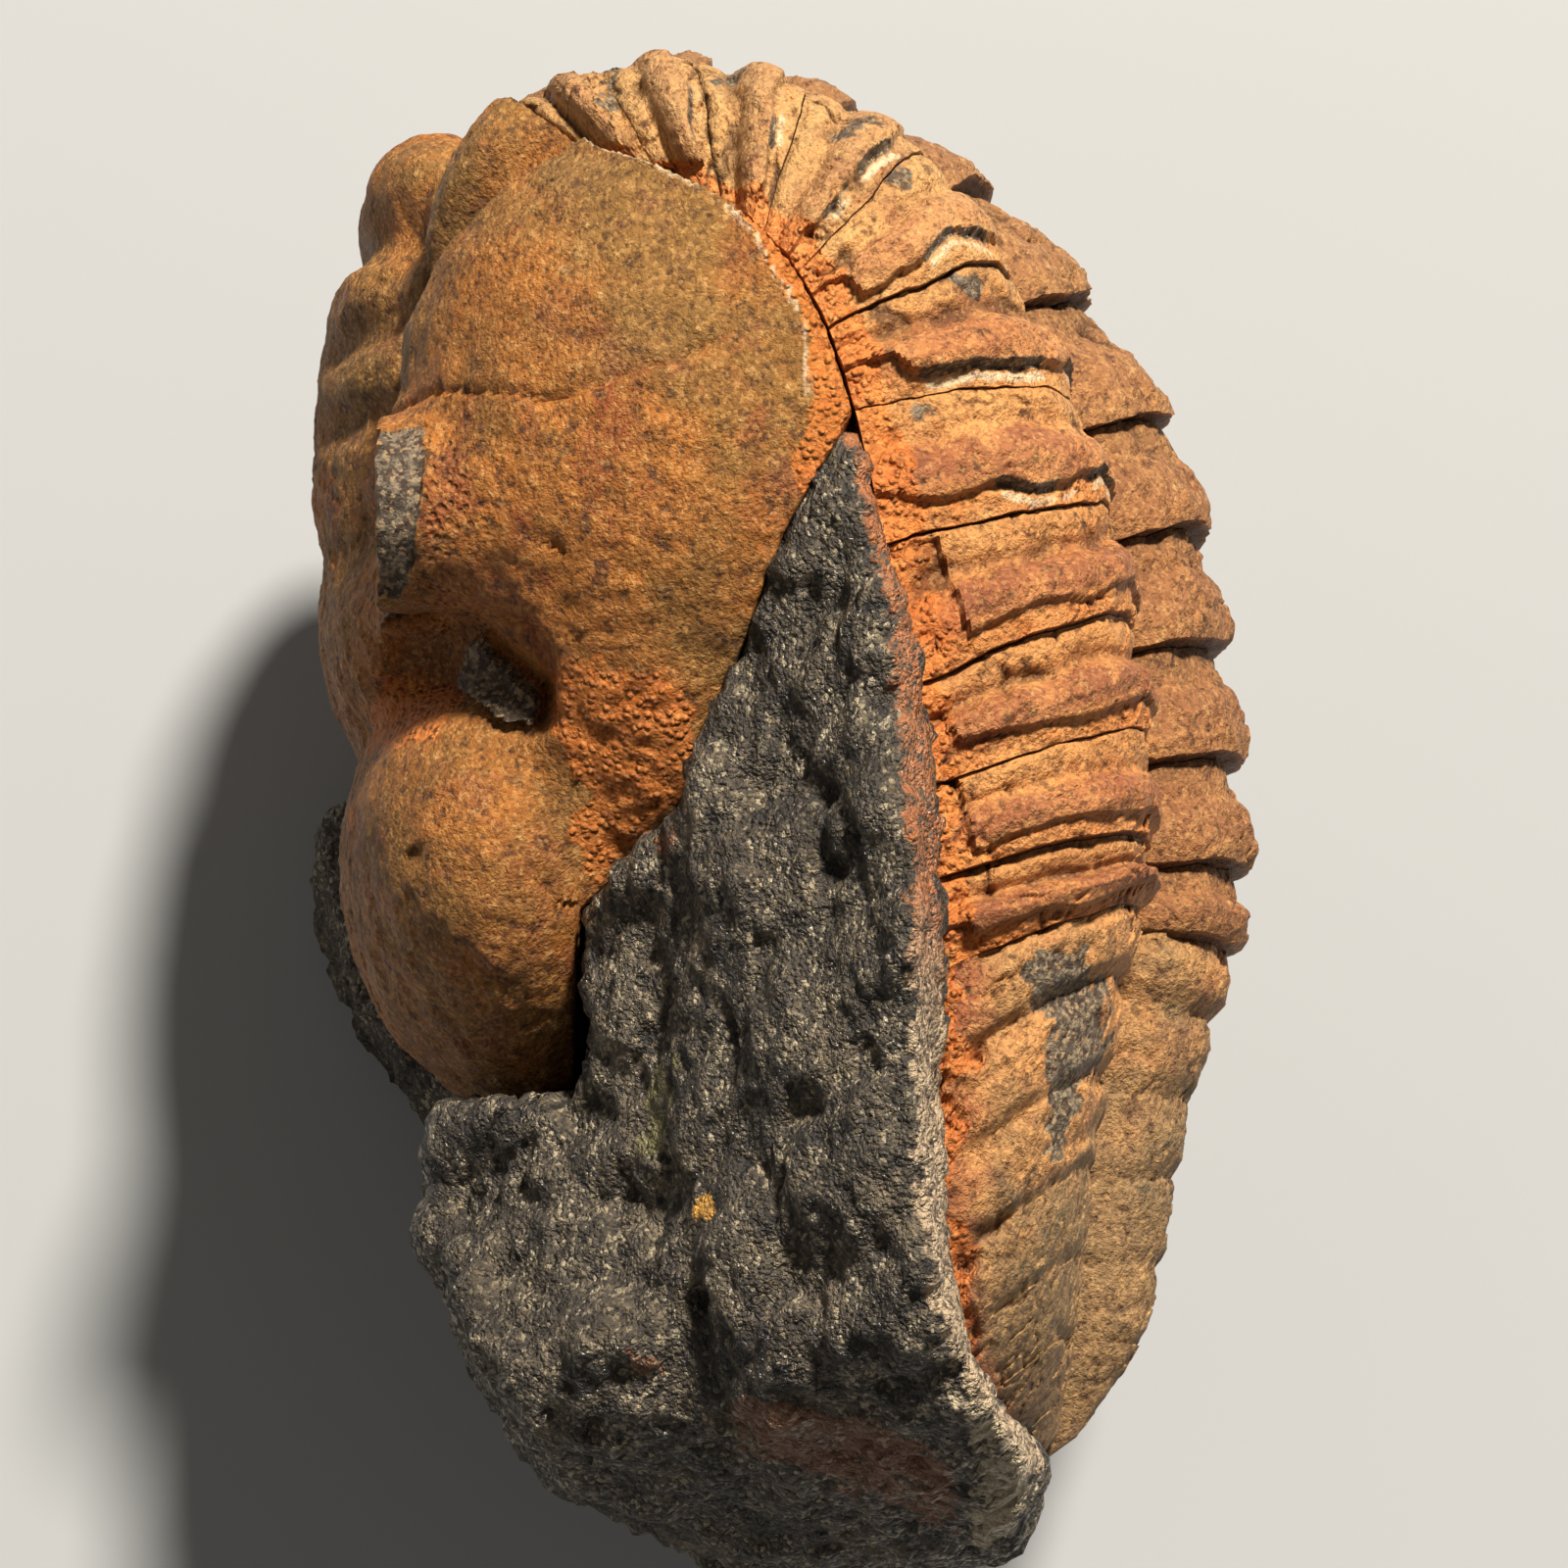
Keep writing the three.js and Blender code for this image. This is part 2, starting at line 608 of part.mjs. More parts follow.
// Takes away what lies in front of each flat break
function broken(solid, breaks) {
  return breaks.reduce((rest, { at, facing }) => {
    const inwards = new THREE.Vector3(...facing).normalize().negate();
    return rest.trimByPlane(inwards.toArray(), inwards.dot(new THREE.Vector3(...at)));
  }, solid);
}

function rockSolid() {
  const face = prism(rockOutline(), -planeHeight, planeHeight + clearOfAll).intersect(rockFace());
  const shown = broken(face, rockBreaks);
  const lump = broken(prism(hiddenLump, -planeHeight, hiddenLumpTop), lumpBreaks);
  const besideHead = lump.subtract(headSolid(roomRows, roomColumns, 2 * gap));
  return joined([shown, rockInsideArch()]).subtract(headRoom()).add(besideHead);
}

function biggestBody(solid) {
  return solid.decompose().reduce((best, piece) => (piece.volume() > best.volume() ? piece : best));
}

// Named pieces

const trilobite = new THREE.Group();

function addPiece(name, geometry, colour, roughness) {
  const material = new THREE.MeshStandardMaterial({ color: colour, roughness, metalness: 0 });
  const mesh = new THREE.Mesh(geometry, material);
  mesh.name = name;
  trilobite.add(mesh);
}

addPiece('rock_matrix', toGeometry(biggestBody(rockSolid())), colours.rock, 0.9);
addPiece('cephalon', toGeometry(biggestBody(cutHead())), colours.shell, 0.7);
for (let number = 1; number <= segmentCount; number += 1) {
  const name = `thorax_segment_${String(number).padStart(2, '0')}`;
  addPiece(name, thoraxPlate(number), colours.thorax, 0.75);
}
addPiece('pygidium', tailShield(), colours.tail, 0.8);

// The origin is under the middle of the fossil, on the surface it lies on
const box = new THREE.Box3().setFromObject(trilobite);
const middle = box.getCenter(new THREE.Vector3());
trilobite.position.set(-middle.x, -middle.y, -box.min.z);

export default trilobite;
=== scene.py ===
# %% [markdown]
# # A rolled-up trilobite fossil
#
# The fossil lies on its right flank. Its head shield is at the left, eleven thorax plates arch over
# the top, the ribbed tail tapers at the lower right, and dark rock fills the space between them.
# The solids of the CAD model give every piece its place. This script builds the pieces that are
# shown: the same forms, with the breaks, cracks and grain that the stone has.

# %% The frame
import json
import math

import bpy
import numpy as np
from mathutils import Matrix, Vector

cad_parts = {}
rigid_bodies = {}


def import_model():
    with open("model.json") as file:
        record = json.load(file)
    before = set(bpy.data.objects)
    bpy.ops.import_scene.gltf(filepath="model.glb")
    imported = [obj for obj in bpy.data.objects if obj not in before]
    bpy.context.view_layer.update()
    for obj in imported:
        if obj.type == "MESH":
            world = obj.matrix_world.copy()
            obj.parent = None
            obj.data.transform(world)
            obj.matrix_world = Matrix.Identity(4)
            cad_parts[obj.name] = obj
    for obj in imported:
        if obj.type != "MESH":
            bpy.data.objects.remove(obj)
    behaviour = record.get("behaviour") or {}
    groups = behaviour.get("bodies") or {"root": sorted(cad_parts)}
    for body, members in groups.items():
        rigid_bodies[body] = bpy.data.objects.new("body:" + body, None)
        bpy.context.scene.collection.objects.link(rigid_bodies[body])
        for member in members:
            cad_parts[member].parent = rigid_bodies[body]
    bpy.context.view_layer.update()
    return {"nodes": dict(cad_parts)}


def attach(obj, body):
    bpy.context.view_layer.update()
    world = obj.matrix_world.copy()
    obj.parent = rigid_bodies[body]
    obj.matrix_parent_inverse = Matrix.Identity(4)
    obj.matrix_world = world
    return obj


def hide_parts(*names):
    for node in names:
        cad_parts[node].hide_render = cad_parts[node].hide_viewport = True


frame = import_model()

# %% [markdown]
# ## Where the shapes are measured from
#
# The animal is the same on both sides of its plane of symmetry. All its shapes are worked out in
# millimetres from that plane and moved to the frame in one step at the end.

# %% From the plane of symmetry to the frame
frame_shift = np.array([0.2462, 0.3880, 17.0])


def in_frame(points):
    return (points + frame_shift) / 1000


print("plane of symmetry at a height of", frame_shift[2], "mm")

# %% [markdown]
# ## Rough stone
#
# Stone is rough at every size. A lattice noise gives each point of space a soft random height that
# is the same on every run, and layers of it, each finer and lower than the last, give a broken
# surface. It is written in numpy because it is asked for hundreds of thousands of points at once.
# Large odd numbers stir the place of a lattice cell into one number, and its bits give the slopes.

# %% Noise
finer, lower, spacing = 2.03, 0.5, 3.7


def noise(points, seed):
    """Soft random values between about -1 and 1, one lattice cell per unit."""
    cell = np.floor(points).astype(np.int64)
    inside = points - cell
    fade = inside ** 3 * (inside * (inside * 6 - 15) + 10)
    total = np.zeros(points.shape[:-1])
    for corner in np.ndindex(2, 2, 2):
        at = cell + np.array(corner)
        mixed = at[..., 0] * 73856093 ^ at[..., 1] * 19349663 ^ at[..., 2] * 83492791 ^ (seed * 7919 + 101)
        mixed = (mixed ^ (mixed >> 13)) * 1274126177 & 0x7FFFFFFF
        mixed ^= mixed >> 15
        slope = np.stack([(mixed >> shift & 1023) / 511.5 - 1 for shift in (0, 10, 20)], axis=-1)
        weight = np.prod(np.where(np.array(corner) == 1, fade, 1 - fade), axis=-1)
        total += weight * np.sum(slope * (inside - np.array(corner)), axis=-1)
    return 1.4 * total


def rough(points, size, layers, seed):
    """Layers of noise, the coarsest with lumps of the given size in millimetres."""
    total = 0
    for layer in range(layers):
        place = points * (finer ** layer / size) + spacing * layer
        total = total + noise(place, seed + layer) * lower ** layer
    return total


def grain(points, kinds):
    """Several rough layers, each given as height, lump size, layers and seed."""
    return sum(height * rough(points, size, layers, seed) for height, size, layers, seed in kinds)


print("noise at one point:", round(float(noise(np.array([0.3, 0.4, 0.5]), 0)), 3))

# %% [markdown]
# ## Soft edges, lines and regions
#
# Most marks on the stone are places with a soft or ragged edge: a furrow, a crack, a bare patch.
# Each is a number between 0 and 1 for every point, so it can lower the surface and also colour it.
# Marks are drawn in x and y, as the camera sees the near flank, and don't reach the hidden one.

# %% Soft edges
far_away = 99.0
near_side = 3


def soft_step(value, low, high):
    share = np.clip((value - low) / (high - low), 0, 1)
    return share * share * (3 - 2 * share)


def band(value, rise, fall):
    """1 between a rise and a fall, each given as its start and its end."""
    return soft_step(value, *rise) * (1 - soft_step(value, *fall))


def bell(distance, width):
    """1 on a line and 0 away from it."""
    return np.exp(-(distance / width) ** 2)


# %% Lines and regions as the camera sees them
def seen_from(points, line):
    """Distance from a line as the camera sees it, in x and y; the hidden flank is far away."""
    nearest = np.full(points.shape[:-1], far_away)
    for start, end in zip(np.array(line[:-1], float), np.array(line[1:], float)):
        along = end - start
        from_start = points[..., :2] - start
        share = np.clip(from_start @ along / (along @ along), 0, 1)
        nearest = np.minimum(nearest, np.linalg.norm(from_start - share[..., None] * along, axis=-1))
    return np.where(points[..., 2] > near_side, nearest, far_away)


def region(points, corners, edge, ragged, seed):
    """1 inside a region of the near flank, 0 outside it, with a ragged edge."""
    closed = np.array(list(corners) + [corners[0]], float)
    inside = np.zeros(points.shape[:-1], bool)
    for (x0, y0), (x1, y1) in zip(closed[:-1], closed[1:]):
        above = (points[..., 1] < y0) != (points[..., 1] < y1)
        crossing = x0 + (points[..., 1] - y0) * (x1 - x0) / (y1 - y0 + 1e-9)
        inside ^= above & (points[..., 0] < crossing)
    distance = seen_from(points, closed)
    signed = np.where(inside & (points[..., 2] > near_side), distance, -distance)
    return soft_step(signed + ragged * rough(points, 0.7, 3, seed), -edge, edge)


def regions(points, outlines, edge, ragged, seed):
    """1 inside any of several regions."""
    return np.max([region(points, corners, edge, ragged, seed + k) for k, corners in enumerate(outlines)], 0)


# %% Cracks and flakes
crack_share = 0.07


def wandering_cracks(points, size, seed):
    """Thin broken lines, 1 in a crack and 0 beside it."""
    line = bell(rough(points, size, 3, seed), crack_share)
    return line * soft_step(rough(points, 1.3 * size, 2, seed + 7), 0.0, 0.3)


def flakes(points, size, seed):
    """1 where a thin layer is left and 0 where it has flaked off, with a sharp ragged edge."""
    return soft_step(rough(points, size, 5, seed), 0.06, 0.13)


print("a line's soft edge halfway:", soft_step(0.5, 0, 1))

# %% [markdown]
# ## The lines of the back
#
# Three curves run along the body: the crest of the axis, the bend of each plate where it turns down
# to the flank, and the plates' free ends. A station is a place along them: 0 is the rear edge of
# the head, 11 that of the last thorax plate. They are the curves of the CAD model, so that the
# shown pieces sit where its solids are.

# %% Points of the three curves
plate_count = 11
tail_end = 17.9
crest_points = [
    (-9.1, 17.7, 0), (-1.9, 19.6, 0), (5.5, 16.2, 0), (10.4, 9.9, 0), (11.9, 3.7, 0),
    (12.4, -2.3, 0), (11.5, -6.3, 0), (10.4, -10.3, 0), (9.5, -14.6, 0), (7.6, -17.6, 0),
]
bend_points = [
    (-7.2, 16.6, 8.6), (-2.4, 17.2, 10.6), (3.6, 14.7, 10.8), (7.5, 8.5, 10.0), (9.0, 2.9, 9.2),
    (9.5, -2.7, 8.5), (8.8, -6.0, 7.6), (8.0, -10.6, 5.8), (7.5, -14.7, 3.6), (7.1, -17.7, 0.9),
]
free_end_points = [
    (-4.8, 14.3, 11.4), (-1.6, 12.7, 13.8), (0.4, 10.6, 14.8), (1.8, 7.1, 14.6), (3.1, 0.2, 14.0),
    (3.5, -4.7, 13.2), (3.6, -9.3, 12.0), (3.8, -14.0, 10.6), (4.7, -17.0, 7.6), (6.3, -18.6, 1.4),
]
print("points on each curve:", len(crest_points))

# %% [markdown]
# ### Smooth curves through the points
#
# A curve object would pass through these points too, but its places can't be asked for easily. A
# smooth curve is a weighted sum of its points, and the same weights serve all three curves.

# %% Curves along the body
stations_per_point = 2
table_step = 0.02
last_station = 18


def smooth_weights(places, count):
    """Rows of weights that put a smooth curve through count points, at the given places."""
    places = np.clip(places, 0, count - 1)
    first = np.minimum(places.astype(int), count - 2)
    t = places - first
    shares = np.stack([
        (-t + 2 * t ** 2 - t ** 3) / 2, (2 - 5 * t ** 2 + 3 * t ** 3) / 2,
        (t + 4 * t ** 2 - 3 * t ** 3) / 2, (t ** 3 - t ** 2) / 2], axis=-1)
    weights = np.zeros((len(places), count + 2))
    for step in range(4):
        weights[np.arange(len(places)), first + step] += shares[:, step]
    weights[:, 1] += 2 * weights[:, 0]
    weights[:, 2] -= weights[:, 0]
    weights[:, -2] += 2 * weights[:, -1]
    weights[:, -3] -= weights[:, -1]
    return weights[:, 1:-1]


stations = np.arange(0, last_station + 0.001, table_step)
body_weights = smooth_weights(stations / stations_per_point, len(crest_points))
crest_line = body_weights @ np.array(crest_points)
bend_line = body_weights @ np.array(bend_points)
free_end_line = body_weights @ np.array(free_end_points)
belly_line = free_end_line * np.array([1, 1, 0])
print("stations along the body:", len(stations))

# %% [markdown]
# ## The cross-section of the back
#
# Across the body the back is a round ring on the axis, a furrow, a flat inner rib and a flank that
# turns down like a quarter of an ellipse. Twenty-one points make one section, from the hidden free
# end over the crest to the near one, and a smooth curve through them gives as many columns as the
# surface needs: many on the near flank, fewer on the hidden one.

# %% The section at every station
axis_share = 0.44
ring_angles = np.radians([0, 30, 60, 84])
flank_angles = np.radians([0, 24, 48, 70, 90])
furrow_column = 4.1
last_column = 10
hidden_count, near_count = 76, 220
beside_crest = 0.15
furrow_bottom = {"inward": 1.08, "outward": 1.12}
inner_rib_inward = 0.97
flat = np.array([1, 1, 0])
upward = np.array([0, 0, 1])


def half_section():
    inward = (bend_line - crest_line) * flat
    axis_half = axis_share * bend_line[:, 2:]
    points = [crest_line + inward * (1 - math.cos(a)) + axis_half * math.sin(a) * upward for a in ring_angles]
    beside_axis = axis_half * furrow_bottom["outward"] * upward
    points.append(crest_line + inward * furrow_bottom["inward"] + beside_axis)
    points.append(crest_line + inward * inner_rib_inward + (axis_half + bend_line[:, 2:]) / 2 * upward)
    down = (free_end_line - bend_line) * flat
    rise = free_end_line[:, 2:] - bend_line[:, 2:]
    for a in flank_angles:
        points.append(bend_line + down * (1 - math.cos(a)) + rise * math.sin(a) * upward)
    return np.stack(points, axis=1)


near_half = half_section()
hidden_half = near_half[:, :0:-1] * np.array([1, 1, -1])
control = np.concatenate([hidden_half, near_half], axis=1)
across = np.concatenate([
    np.linspace(-last_column, -beside_crest, hidden_count), np.linspace(0, last_column, near_count)])
across_weights = smooth_weights(across + last_column, control.shape[1])
section_table = np.einsum("ck,skx->scx", across_weights, control)
from_axis = np.abs(across)
print("section table:", section_table.shape)

# %% [markdown]
# ### A place on the back
#
# A station, a column and a height over the smooth back give one point. Heights are measured away
# from the belly, so that neighbouring plates never cross, however the body bends.

# %% Points on the back
least_reach = 0.4


def on_back(station, height):
    """Points of the back at a station and a height for every column."""
    place = np.clip(station / table_step, 0, len(stations) - 1.001)
    low = place.astype(int)
    share = (place - low)[..., None]
    column = np.arange(len(across))
    base = section_table[low, column] * (1 - share) + section_table[low + 1, column] * share
    belly = belly_line[low] * (1 - share) + belly_line[low + 1] * share
    away = base - belly
    distance = np.linalg.norm(away, axis=-1, keepdims=True)
    reach = np.maximum(distance + height[..., None], least_reach * distance)
    return belly + away / distance * reach


print("columns over the back:", len(across))

# %% [markdown]
# ## From a grid of points to a closed piece
#
# A plate of shell is a bent sheet with a thickness. Mesh code suits it better than a primitive,
# because every point of it follows the curves: an outer grid and a coarser inner grid are joined
# along all four edges.

# %% Closed meshes from grids
plate_depth = 2.6
crack_width = 0.012


def sheet(ids):
    a, b = ids[:-1, :-1], ids[:-1, 1:]
    c, d = ids[1:, :-1], ids[1:, 1:]
    return np.concatenate([np.stack([a, c, d], -1).reshape(-1, 3), np.stack([a, d, b], -1).reshape(-1, 3)])


def side_strip(outer, inner, turned):
    triangles = []
    o = i = 0
    while o + 1 < len(outer) or i + 1 < len(inner):
        outer_first = (o + 1) / (len(outer) - 1) <= (i + 1) / max(len(inner) - 1, 1)
        if i + 1 >= len(inner) or (o + 1 < len(outer) and outer_first):
            triangles.append((outer[o + 1], outer[o], inner[i]))
            o += 1
        else:
            triangles.append((inner[i], inner[i + 1], outer[o]))
            i += 1
    triangles = np.array(triangles)
    return triangles[:, ::-1] if turned else triangles


def closed_sheet(outer, inner):
    columns = outer.shape[1]
    points = np.concatenate([outer.reshape(-1, 3), inner.reshape(-1, 3)])
    top = np.arange(outer.shape[0] * columns).reshape(-1, columns)
    low = top.size + np.arange(inner.shape[0] * columns).reshape(-1, columns)
    triangles = np.concatenate([
        sheet(top), sheet(low[::-1]), sheet(np.stack([top[-1], low[-1]])), sheet(np.stack([low[0], top[0]])),
        side_strip(top[:, 0], low[:, 0], False), side_strip(top[:, -1], low[:, -1], True)])
    return points, triangles


# %% [markdown]
# ### What the finish has to know
#
# A piece keeps how bare, how deep and how worn each point is, as attributes of its mesh. Painted
# weights would do the same by hand. Here the code that shapes the stone already knows them.

# %% Pieces with attributes
sharp_angle = math.radians(55)


def keep_masks(mesh, masks):
    for name, values in masks.items():
        attribute = mesh.attributes.new(name, "FLOAT", "POINT")
        attribute.data.foreach_set("value", np.asarray(values, dtype=np.float32).ravel())


def add_piece(name, points, triangles, masks, node):
    corners = points[triangles]
    volume = np.einsum("ij,ij->", corners[:, 0], np.cross(corners[:, 1], corners[:, 2])) / 6
    if volume < 0:
        triangles = triangles[:, ::-1]
    mesh = bpy.data.meshes.new(name)
    mesh.from_pydata(in_frame(points), [], triangles)
    keep_masks(mesh, masks)
    piece = bpy.data.objects.new(name, mesh)
    bpy.context.scene.collection.objects.link(piece)
    mesh.shade_smooth()
    mesh.set_sharp_from_angle(angle=sharp_angle)
    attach(piece, "root")
    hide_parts(node)
    print(name, "volume", round(abs(volume)), "mm3,", len(triangles), "triangles")
    return piece


def masks_of(values, walls, inner_shape):
    """The outer grid's values, carried on over the walls and the inner side."""
    masks = {}
    for name, value in values.items():
        # The walls and the inner side take the full painted shade of the low places.
        if name == "low":
            outer, inner = np.pad(value, (walls, (0, 0)), constant_values=1.0), np.ones(inner_shape)
        else:
            outer, inner = np.pad(value, (walls, (0, 0)), mode="edge"), np.zeros(inner_shape)
        masks[name] = np.concatenate([outer, inner])
    return masks


# %% [markdown]
# ## Thorax plates
#
# Each plate has a low front band, a furrow, and a raised band whose outer layer has broken off
# along a ragged line before the plate's rear edge. The steps between plates cast the dark lines
# that ring the body. A plate could be pulled into its bands by hand from a grid, but then each of
# the eleven would be as much work again. Here one profile gives the bands across a rib and another
# those across a ring, and a little noise shifts them, so no two plates are alike.

# %% The bands of a plate
rib_profile = (
    [0, 0.05, 0.12, 0.22, 0.3, 0.36, 0.44, 0.54, 0.66, 0.78, 1],
    [-0.5, -0.38, -0.32, -0.36, -0.52, -0.44, -0.06, 0.2, 0.3, 0.22, 0.1])
ring_profile = (
    [0, 0.1, 0.34, 0.5, 0.65, 0.85, 1],
    [-0.6, -0.52, -0.4, -0.08, 0.06, 0.12, 0.0])
outer_steps = np.linspace(0, 1, 54)[:, None]
ring_to_rib = (3.2, 4.2)
on_ring = 1 - soft_step(from_axis, *ring_to_rib)
plate_furrow = {"depth": 0.38, "width": 0.35}
band_shift = 0.07
band_lumps = 2.0
rib_change = 0.25
along_the_rib = np.array([1, 1, 0.6])


def furrow_beside_axis(depth, width):
    """The dent between the rings and the ribs, for every column."""
    return depth * bell(from_axis - furrow_column, width)


def plate_bands(number, plain):
    """Height of a plate's rings and ribs over the smooth back, in millimetres."""
    ring = np.interp(outer_steps, *ring_profile)
    shifted = outer_steps + band_shift * rough(plain * along_the_rib, band_lumps, 4, 7 * number)
    rib_strength = 1 + rib_change * math.sin(2.4 * number)
    rib = np.interp(shifted, *rib_profile) * rib_strength
    return ring * on_ring + rib * (1 - on_ring) - furrow_beside_axis(**plate_furrow)


print("a rib is", round(max(rib_profile[1]) - min(rib_profile[1]), 2), "mm high")

# %% [markdown]
# ### Joints and ledges
#
# The outer layer of most plates has split off at their rear. It leaves a small ledge with a grey
# broken face and pale dust below it. The joint between two plates and the line where the layer ends
# are each one number for every column. So the form and the colours of a ledge come from the same
# numbers, and a sculpted break couldn't be changed as easily.

# %% Where a plate ends and where its outer layer ends
joint_wander = 0.07
ledge_wander = 0.12
layer_end = 0.8
worn_back_share, worn_back_change = 0.45, 0.4
worn_free_end = (9.35, 9.6)
ledge_strength = (0.3, 0.6, 0.9, 1.0, 0.8, 1.0, 0.9, 0.3, 0.5, 0.2, 0.4)


def line_of_columns(stretch, place, row):
    """One point for every column, on a line of its own, for noise along a plate."""
    same = np.ones_like(across)
    return np.stack([across * stretch, same * place, same * row], -1)


def joint_place(number):
    """The rear edge of a plate as a station for every column."""
    return number + joint_wander * rough(line_of_columns(0.55, 5.3 * number, 0), 1.0, 5, 11)


def layer_line(number):
    """How far along a plate its outer layer reaches, for every column."""
    points = line_of_columns(0.7, 3.1 * number, 1)
    worn_share = worn_back_share + worn_back_change * math.sin(1.9 * number * number)
    worn_back = worn_share * soft_step(from_axis + 0.5 * rough(points, 0.7, 3, 24), *worn_free_end)
    return layer_end + ledge_wander * rough(points, 1.0, 6, 23) - worn_back


print("joint behind plate 5, station:", round(float(joint_place(5).mean()), 3))

# %% Ledges as masks
ledge_flank = ((4.6, 5.4), (8.9, 9.5))
ledge_face = ((-0.04, -0.01), (0.03, 0.06))
dust_below = ((0.03, 0.08), (0.1, 0.22))
dust_share = 0.8
ledge_lumps = 1.6
ledge_breaks = (-0.35, 0.25)


def ledge_masks(number, plain, past):
    """Where a ledge shows its grey face, and where pale dust lies below it."""
    uneven = soft_step(rough(plain, ledge_lumps, 3, 90 + number), *ledge_breaks)
    shown = band(from_axis, *ledge_flank) * ledge_strength[number - 1] * uneven
    return band(past, *ledge_face) * shown, band(past, *dust_below) * shown * dust_share


# %% [markdown]
# ### The surface of a plate
#
# Heights are added up layer by layer: the bands, the broken-off layer, the grain of the stone, thin
# flakes, grey bare patches and cracks. What the finish needs is kept beside the height, point by
# point: how bare, dusty, fresh or low the stone is, and where on the plate it lies.

# %% Layers of a plate's surface
grey_patches = [
    [(-4.9, 15.6), (-4.2, 15.4), (-4.1, 17.6), (-4.6, 17.5)],
    [(-1.7, 17.0), (-1.0, 17.1), (-1.0, 16.3), (-1.8, 16.3)],
    [(1.3, 15.0), (2.2, 15.1), (2.1, 14.3), (1.2, 14.2)],
    [(2.5, 13.9), (3.4, 14.0), (3.3, 13.1), (2.5, 13.2)],
    [(4.3, 11.0), (5.4, 11.1), (5.3, 10.3), (4.2, 10.4)],
    [(3.2, 7.5), (4.2, 7.6), (4.3, 7.1), (3.3, 7.0)],
]
grey_edge, grey_ragged = 0.3, 0.5
grey_depth = 0.08
grey_cover = 0.62
plate_grain = [(0.13, 1.7, 3, 5), (0.06, 0.5, 4, 9)]
rougher_where_broken = 0.4
plate_flakes = 0.08
layer_edge = (-0.02, 0.015)
layer_depth = 0.26
ledge_depth = 0.16
crack_depth = 0.16
crack_spacing = 1.9
flatter_free_end = 0.4
free_end_fade = (9.2, 10)
fresh_free_end = (9.3, 9.7)
print("bare patches on the plates:", len(grey_patches))


# %% The height and the masks of a plate
def plate_surface(number, station):
    """The height of a plate and what its finish has to know, for every point."""
    plain = on_back(station, np.zeros_like(station))
    past = outer_steps - layer_line(number)
    broken = soft_step(past, *layer_edge) * (1 - on_ring)
    grey = regions(plain, grey_patches, grey_edge, grey_ragged, 70)
    cracks = wandering_cracks(plain, crack_spacing, 300 + 10 * number)
    height = plate_bands(number, plain)
    height = height - (layer_depth + ledge_depth * ledge_strength[number - 1]) * broken
    height = height * (1 - flatter_free_end * soft_step(from_axis, *free_end_fade))
    height = height + grain(plain, plate_grain) * (1 + rougher_where_broken * broken)
    height = height + plate_flakes * flakes(plain, 1.5, 500)
    height = height - grey_depth * grey - crack_depth * cracks
    ledge, dust = ledge_masks(number, plain, past)
    bare = (0.3 + 0.03 * number) * broken * (1 - ledge)
    ragged_side = from_axis + 0.3 * rough(plain, 1.0, 3, 610)
    values = {
        "broken": np.maximum(ledge, grey_cover * grey),
        "dust": dust,
        "fresh": np.maximum(bare, soft_step(ragged_side, *fresh_free_end)),
        # How low a point lies, which the finish darkens as painted shade.
        "low": np.clip(-height / 0.7 + 0.7 * cracks, 0, 1),
        "along": np.broadcast_to(outer_steps, station.shape),
        "side": np.broadcast_to(from_axis / last_column, station.shape),
        "order": np.full(station.shape, number / plate_count)}
    return height, values


# %% [markdown]
# ### Eleven plates
#
# A plate's surface ends in a wall at its front and a higher one at its rear, both down to the
# plate's underside. A loop makes the eleven plates, and each one is a piece of its own.

# %% All thorax plates
front_wall_shares = (0.0, 0.5, 0.85)
rear_wall_shares = (0.92, 0.8, 0.6, 0.3)


def wall(station, height, shares):
    """Rows of points between a plate's underside, at share 0, and its surface, at share 1."""
    return [on_back(station, -plate_depth + (height + plate_depth) * share) for share in shares]


def thorax_plate(number):
    front = joint_place(number - 1) + crack_width
    rear = joint_place(number)
    station = front + (rear - front) * outer_steps
    height, values = plate_surface(number, station)
    front_wall = wall(front, height[0], front_wall_shares)
    rear_wall = wall(rear, height[-1], rear_wall_shares)
    outer = np.concatenate([front_wall, on_back(station, height), rear_wall])
    deep = np.full_like(rear, -plate_depth)
    inner = np.stack([on_back(front, deep), on_back(rear, deep)])
    masks = masks_of(values, (len(front_wall), len(rear_wall)), inner.shape[:2])
    points, triangles = closed_sheet(outer, inner)
    name = f"thorax_segment_{number:02d}"
    return add_piece("shell_" + name, points, triangles, masks, name)


thorax = [thorax_plate(number) for number in range(1, plate_count + 1)]

# %% [markdown]
# ## The tail shield
#
# The tail is one plate of fused segments: the same rings and ribs, lower and closer, fading towards
# its end. It is made like a thorax plate, with more rows, and two short profiles repeat along it.

# %% The bands of the tail
tail_ribs = 5
tail_rib_length = 1.05
tail_steps = np.linspace(0, 1, 190)[:, None]
tail_rib_profile = ([0, 0.14, 0.3, 0.6, 0.85, 1], [-0.5, -0.28, 0.0, 0.1, 0.06, -0.5])
tail_ring_profile = ([0, 0.2, 0.45, 0.8, 1], [-0.4, -0.22, 0.02, 0.06, -0.4])
tail_furrow = {"depth": 0.3, "width": 0.4}
tail_rib_end = (9.0, 9.8)


def tail_bands(station, plain):
    """Height of the fused rings and ribs over the smooth back, in millimetres."""
    ribs = (station - plate_count - crack_width) / tail_rib_length + 0.05 * rough(plain, 1.5, 3, 31)
    part = ribs - np.floor(ribs)
    strength = np.clip(1 - np.floor(ribs) / (tail_ribs + 1), 0, 1) * (ribs < tail_ribs)
    ring = np.interp(part, *tail_ring_profile)
    rib = np.interp(part, *tail_rib_profile) * (1 - soft_step(from_axis, *tail_rib_end))
    height = strength * (ring * on_ring + rib * (1 - on_ring))
    return height - furrow_beside_axis(**tail_furrow) * (1 - tail_steps)


